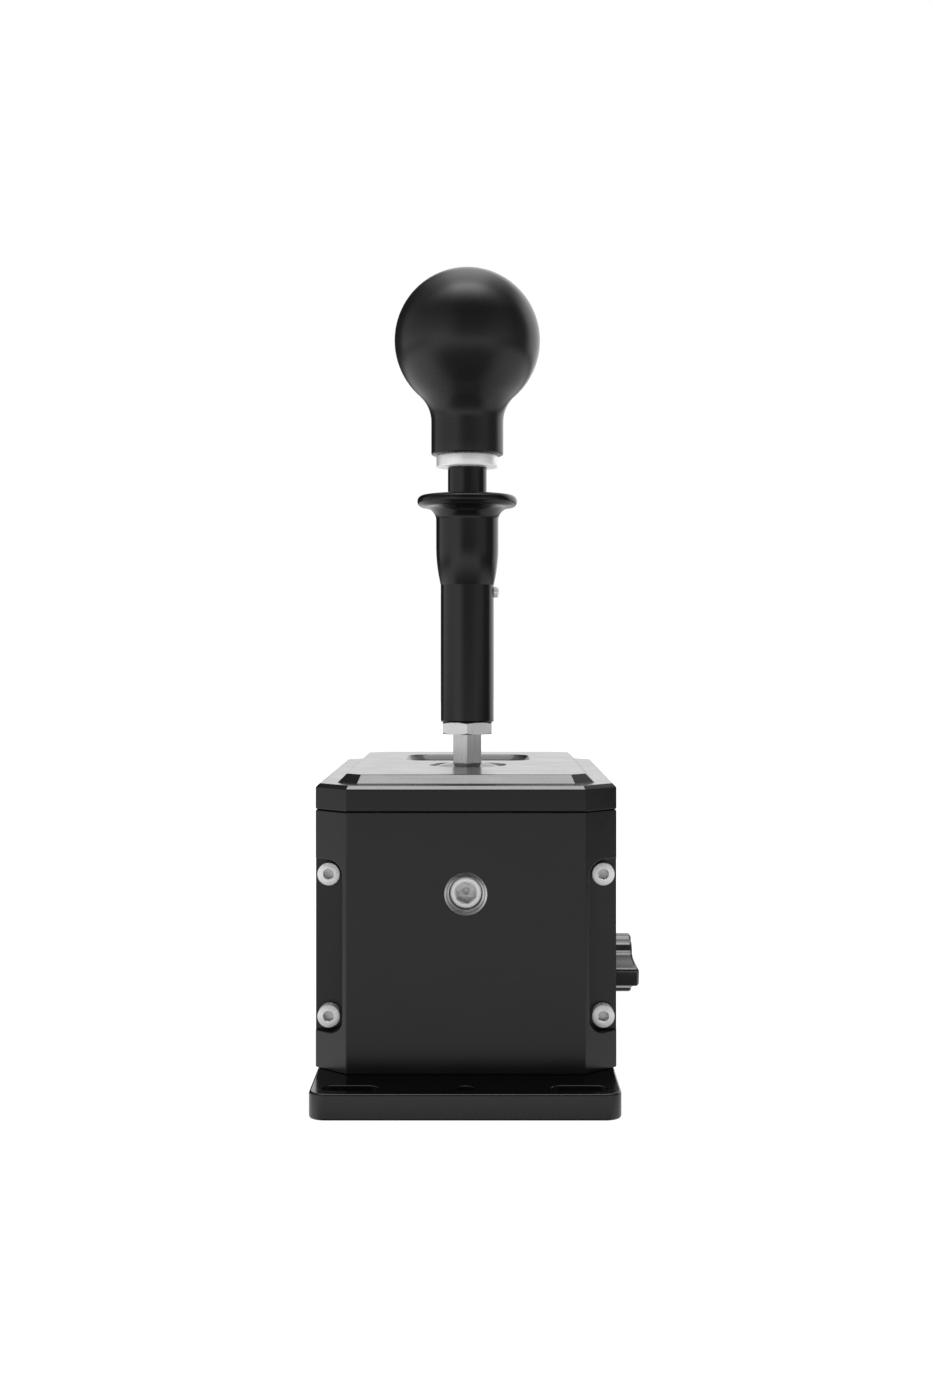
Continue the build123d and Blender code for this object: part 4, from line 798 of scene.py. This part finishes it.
# Socket walls and floor take the darker zinc: painted shade
paint_faces(bolt, [bright_zinc, socket_shaded_zinc],
            lambda c, n: int(0 < c.z < 5.7 and math.hypot(c.x, c.y) < 3.7))
lay(bolt, "-Y", (0, -61.7, PIVOT_Z))
fit(smooth(bolt, 30), "gimbal", None, "bright_steel", "front_pivot_bolt")

# Hexagon lever, dust dome and thin nut
lever = hexagon("hex_lever", (0, LEVER_Y, 56.6), NUT_Z - 56.6, 9.5)
panel_smooth(break_edges(lever, 0.2, 2, 30))
fit(lever, "lever", drawn_steel, "steel", "lever_rod")

dome = turned("dust_cap", (0, LEVER_Y, PIVOT_Z), arc(0, 0, 37.3, 82.4, 50, 40)
              + arc(0, 0, 35.7, 50, 75.4, 20) + [(9.0, 22.5), (4.95, 22.5), (4.95, 36.97)],
              sides=128)
fit(smooth(dome, 40), "lever", dome_steel, "dome_steel", "dust_dome")

nut = hexagon("thin_nut", (0, LEVER_Y, NUT_Z), 4.0, 16.56)
combine(nut, turned("nut_cone", (0, LEVER_Y, NUT_Z), [
    (0, 0), (8.35, 0), (9.7, 0.62), (9.7, 3.38), (8.35, 4.0), (0, 4.0)]), "INTERSECT")
panel_smooth(break_edges(nut, 0.1, 2, 40))
fit(nut, "lever", bright_zinc, "bright_steel", "jam_nut")

# Upper rod between collar and knob
upper = turned("upper_rod_bar", (0, LEVER_Y, 0), [
    (4.0, COLLAR_Z), (6.3, COLLAR_Z), (6.6, COLLAR_Z + 0.3), (6.6, RING_Z), (5.0, RING_Z),
    (5.0, 226.3), (4.0, 226.3), (4.0, COLLAR_Z)])
fit(smooth(upper, 30), "lever", black_collar, "black_satin", "upper_rod")

# Lift collar: sleeve, swelling grip and round-edged finger flange
crease, taper_rise, taper_gain = 160.81, 13.17, 1.55
taper_radius = (taper_rise ** 2 + taper_gain ** 2) / (2 * taper_gain)
taper_span = math.degrees(math.asin(taper_rise / taper_radius))
collar_bore, spring_room = 6.66, 8.2
collar = turned(
    "lift_collar", (0, LEVER_Y, 0),
    [(collar_bore, COLLAR_Z), (8.5, COLLAR_Z), (8.93, 114.5), (9.05, 114.9), (9.05, crease)]
    + arc(10.6 - taper_radius, crease + taper_rise, taper_radius, -taper_span, 0, 14)[1:]
    + arc(14.9, 182.8, 4.3, 180, 90, 14)
    + arc(14.9, 189.2, 2.1, -90, 90, 18)[1:]
    + [(8.5, 191.3), (spring_room, 191.0), (spring_room, 166.3), (collar_bore, 166.3),
       (collar_bore, COLLAR_Z)],
    sides=128)
cut(collar, bar("guide_hole", (6.0, LEVER_Y, GUIDE_Z), 6, 1.5, "X", 32))
fit(smooth(collar, 12), "collar", black_collar, "black_satin", "lift_sleeve")

guide = turned("guide_pin", (0, LEVER_Y, GUIDE_Z), [
    (0, 4.8), (1.45, 4.8), (1.45, 8.9), (1.85, 8.96), (1.85, 10.0)]
    + arc(1.05, 10.0, 0.8, 0, 90, 6)[1:] + [(0, 10.8)], "X", 40)
cut(guide, slab("driver_slot", (10.1, LEVER_Y - 0.25, 156), (12, LEVER_Y + 0.25, 161)))
fit(smooth(guide, 30), "collar", bright_zinc, "bright_steel", "guide_screw")

# Knob ring
knob_ring = turned("knob_seat_ring", (0, LEVER_Y, RING_Z), [
    (5.02, 0), (10.0, 0), (10.36, 0.14), (10.5, 0.5), (10.5, 3.7), (10.4, 4.0), (10.1, 4.1),
    (5.02, 4.1), (5.02, 0)], sides=128)
fit(smooth(knob_ring, 40), "lever", bright_zinc, "bright_steel", "knob_ring")

# Ball knob: neck, hollow blend and ball
neck_radius, blend_radius = 12.25, 12.0
blend_r = neck_radius + blend_radius
blend_drop = math.sqrt((KNOB_RADIUS + blend_radius) ** 2 - blend_r ** 2)
ball_start = math.degrees(math.atan2(-blend_drop, blend_r))
knob = turned(
    "ball_knob", (0, LEVER_Y, 0),
    [(0, 206.0), (8.0, 206.0), (8.0, 204.8), (11.45, 204.8)]
    + arc(11.45, 205.6, 0.8, -90, 0, 6)[1:]
    + [(neck_radius, 209), (neck_radius, 213)]
    + arc(blend_r, KNOB_Z - blend_drop, blend_radius, 180, 180 + ball_start, 20)
    + arc(0, KNOB_Z, KNOB_RADIUS, ball_start, 90, 64)[1:],
    sides=160)
fit(smooth(knob, 40), "lever", knob_black, "knob_black", "knob")

# Mode dial: fluted body that flares into its pointer, a low cone on its face and the pointer.
# Angles are in degrees about the X axis, from the rear and up over the top to the front.
dial_points = 144
dial_step = 360 / dial_points
flute_pitch, flute_phase, flute_reach, flute_depth = 30.0, 25.0, 11.0, 0.7
fade_start, fade_span = 14.0, 12.0
pointer_angle, pointer_half, pointer_droop = 194.0, 12.0, 13.5
flare_reach, flare_out, flare_share = 32.0, 2.7, 0.15
dial = turned("mode_dial", (DIAL_X, 0, DIAL_Z), [
    (0, 0), (9.9, 0), (DIAL_RADIUS, 0.2), (DIAL_RADIUS, 8.2)]
    + arc(DIAL_RADIUS - 0.9, 8.2, 0.9, 0, 75, 6)[1:] + [(7.0, 9.3), (3.5, 9.55), (0, 9.7)],
    "X", dial_points)
for i in range(dial_points):
    angle = i * dial_step
    from_flute = abs((angle - flute_phase + flute_pitch / 2) % flute_pitch - flute_pitch / 2)
    from_pointer = max(abs(angle - pointer_angle) - pointer_half, 0)
    flare = max(1 - from_pointer / flare_reach, 0) ** 2
    fade = min(max((from_pointer - fade_start) / fade_span, 0), 1)
    flute = (1 + math.cos(math.pi * min(from_flute / flute_reach, 1))) / 2 * fade
    size = 1 + (flare * flare_out - flute * flute_depth) / DIAL_RADIUS
    edit(dial, "VERT")
    pick_points(dial, lambda p: math.hypot(p.y, p.z - DIAL_Z) > 8.0 and round(math.degrees(
        math.atan2(p.z - DIAL_Z, p.y)) / dial_step) % dial_points == i)
    bpy.ops.transform.resize(value=(1 + flare * flare_share, size, size),
                             center_override=DIAL_CENTRE)
pointer = slab("pointer", (48.0, -13.7, 26.8), (58.7, 8.6, 33.5))
edit(pointer, "VERT")
pick_points(pointer, lambda p: p.x > 50 and p.y > 0)
bpy.ops.transform.translate(value=(-2.6 * MM, 0, 0))
break_edges(pointer, 1.3, 6, 40)
edit(pointer, "VERT")
bpy.ops.mesh.select_all(action="SELECT")
bpy.ops.transform.rotate(value=-math.radians(pointer_droop), orient_axis="X",
                         center_override=DIAL_CENTRE)
combine(dial, pointer, "UNION")
fit(smooth(dial, 38), "dial", dial_black, "dial_black", "dial_knob")


# Camera and floor
clear_selection()
bpy.ops.object.camera_add(location=(0.0051, -0.6127, 0.1394), rotation=(math.pi / 2, 0, 0))
camera = bpy.context.object
camera.data.lens = 45.26
camera.data.sensor_width = 36
camera.data.shift_x = -0.0113
camera.data.shift_y = -0.0371
camera.data.clip_start = 0.01
bpy.context.scene.camera = camera

bpy.ops.mesh.primitive_plane_add(size=8, location=(0, 0, 0))
floor = name_new("studio_floor")
floor_paint = bpy.data.materials.new("floor_paint")
floor_paint.use_nodes = True
paint = floor_paint.node_tree.nodes["Principled BSDF"]
paint.inputs["Base Color"].default_value = (0.3, 0.3, 0.3, 1)
paint.inputs["Roughness"].default_value = 0.9
paint.inputs["Specular IOR Level"].default_value = 0.0
paint.inputs["Emission Color"].default_value = (1, 1, 1, 1)
paint.inputs["Emission Strength"].default_value = 0.93
floor.data.materials.append(floor_paint)
floor.visible_glossy = False

# Studio light, drawn on the world by direction
world = bpy.data.worlds.new("studio")
bpy.context.scene.world = world
world.use_nodes = True
studio_tree = world.node_tree
studio_tree.nodes.clear()


def world_node(kind, **settings):
    node = studio_tree.nodes.new(kind)
    for key, value in settings.items():
        setattr(node, key, value)
    return node


def world_math(operation, *values):
    """Result of a sum whose values are numbers or the outputs of other nodes."""
    node = world_node("ShaderNodeMath", operation=operation)
    for socket, value in zip(node.inputs, values):
        if isinstance(value, (int, float)):
            socket.default_value = value
        else:
            studio_tree.links.new(value, socket)
    return node.outputs[0]


def world_ramp(value, stops):
    """Brightness along a value, as (position, brightness) stops."""
    low, high = stops[0][0], stops[-1][0]
    top = max(brightness for _, brightness in stops)
    scaled = world_node("ShaderNodeMapRange")
    scaled.inputs["From Min"].default_value = low
    scaled.inputs["From Max"].default_value = high
    studio_tree.links.new(value, scaled.inputs["Value"])
    ramp = world_node("ShaderNodeValToRGB")
    elements = ramp.color_ramp.elements
    elements[0].color = (stops[0][1] / top,) * 3 + (1,)
    elements[-1].color = (stops[-1][1] / top,) * 3 + (1,)
    for position, brightness in stops[1:-1]:
        element = elements.new((position - low) / (high - low))
        element.color = (brightness / top,) * 3 + (1,)
    studio_tree.links.new(scaled.outputs["Result"], ramp.inputs["Fac"])
    return world_math("MULTIPLY", ramp.outputs["Color"], top)


direction = world_node("ShaderNodeTexCoord").outputs["Generated"]
split = world_node("ShaderNodeSeparateXYZ")
studio_tree.links.new(direction, split.inputs["Vector"])
right, back, up = (split.outputs[axis] for axis in "XYZ")
# Azimuth in degrees, 0 towards the camera side and positive to the right, and height in degrees
degrees = math.degrees(1)
azimuth = world_math(
    "MULTIPLY", world_math("ARCTAN2", right, world_math("MULTIPLY", back, -1)), degrees)
height = world_math("MULTIPLY", world_math("ARCSINE", up), degrees)
# Each light is its brightness round the studio times its brightness up the height
lights = (
    # Walls above the table, bright on the left and dimmer on the right
    ([(-180, 0.0), (-128, 0.02), (-120, 0.8), (-95, 0.95), (-60, 1.05), (-34, 1.15),
      (-12, 0.28), (16, 0.28), (45, 0.6), (64, 0.7), (80, 0.25), (108, 0.1), (116, 0.0),
      (180, 0.0)],
     [(-90, 0.0), (-5, 0.05), (-1, 1.0), (3, 1.0), (9, 0.66), (22, 0.42), (40, 0.15),
      (70, 0.06), (90, 0.06)]),
    # Lit table in front
    ([(-180, 0.0), (-75, 0.0), (-50, 1.0), (40, 0.92), (62, 0.0), (180, 0.0)],
     [(-90, 0.0), (-28, 0.08), (-17, 0.45), (-12, 0.95), (-8, 1.25), (-5.5, 1.15), (-3, 0.5),
      (0, 0.0), (90, 0.0)]),
    # Lit table on the left
    ([(-180, 1.1), (-75, 1.15), (-45, 0.0), (180, 0.0)],
     [(-90, 0.3), (-60, 0.6), (-35, 1.0), (-12, 1.0), (-7, 0.35), (-4, 0.1), (0, 0.0),
      (90, 0.0)]),
    # Lit table on the right
    ([(-180, 0.0), (40, 0.0), (68, 0.95), (180, 1.0)],
     [(-90, 0.3), (-60, 0.6), (-35, 1.0), (-13, 1.0), (-10, 0.45), (-7, 0.02), (0, 0.0),
      (90, 0.0)]),
    # White sweep behind
    ([(-180, 1.4), (-174, 1.4), (-168, 0.02), (108, 0.0), (118, 1.3), (180, 1.4)],
     [(-90, 0.0), (-6, 0.1), (-2, 1.0), (28, 1.0), (42, 0.25), (65, 0.1), (90, 0.1)]),
)
# Softbox overhead, seen as a plane: across and back per unit of height
lift = world_math("MAXIMUM", up, 0.02)
across_box = world_ramp(world_math("ABSOLUTE", world_math("DIVIDE", right, lift)), [
    (0, 1.0), (0.2, 1.0), (0.4, 0.4), (0.7, 0.1), (1.3, 0.0), (3, 0.0)])
back_box = world_ramp(world_math("DIVIDE", back, lift), [
    (-3, 0.0), (-0.62, 0.0), (-0.36, 2.0), (-0.14, 5.2), (-0.02, 5.5), (0.06, 2.4),
    (0.2, 2.0), (0.55, 1.7), (1.1, 0.7), (1.8, 0.0), (3, 0.0)])
above = world_ramp(up, [(-1, 0.0), (0.05, 0.0), (0.2, 1.0), (1, 1.0)])
studio = world_math("MULTIPLY", world_math("MULTIPLY", across_box, back_box), above)
for round_stops, height_stops in lights:
    studio = world_math("ADD", studio, world_math(
        "MULTIPLY", world_ramp(azimuth, round_stops), world_ramp(height, height_stops)))
# The camera sees plain white behind the object
seen = world_node("ShaderNodeLightPath").outputs["Is Camera Ray"]
chosen = world_node("ShaderNodeMix", data_type="FLOAT")
studio_tree.links.new(seen, chosen.inputs["Factor"])
studio_tree.links.new(studio, chosen.inputs["A"])
chosen.inputs["B"].default_value = 1.0
backdrop = world_node("ShaderNodeBackground")
studio_tree.links.new(chosen.outputs["Result"], backdrop.inputs["Color"])
output = world_node("ShaderNodeOutputWorld")
studio_tree.links.new(backdrop.outputs["Background"], output.inputs["Surface"])
bpy.context.scene.view_settings.view_transform = "Standard"
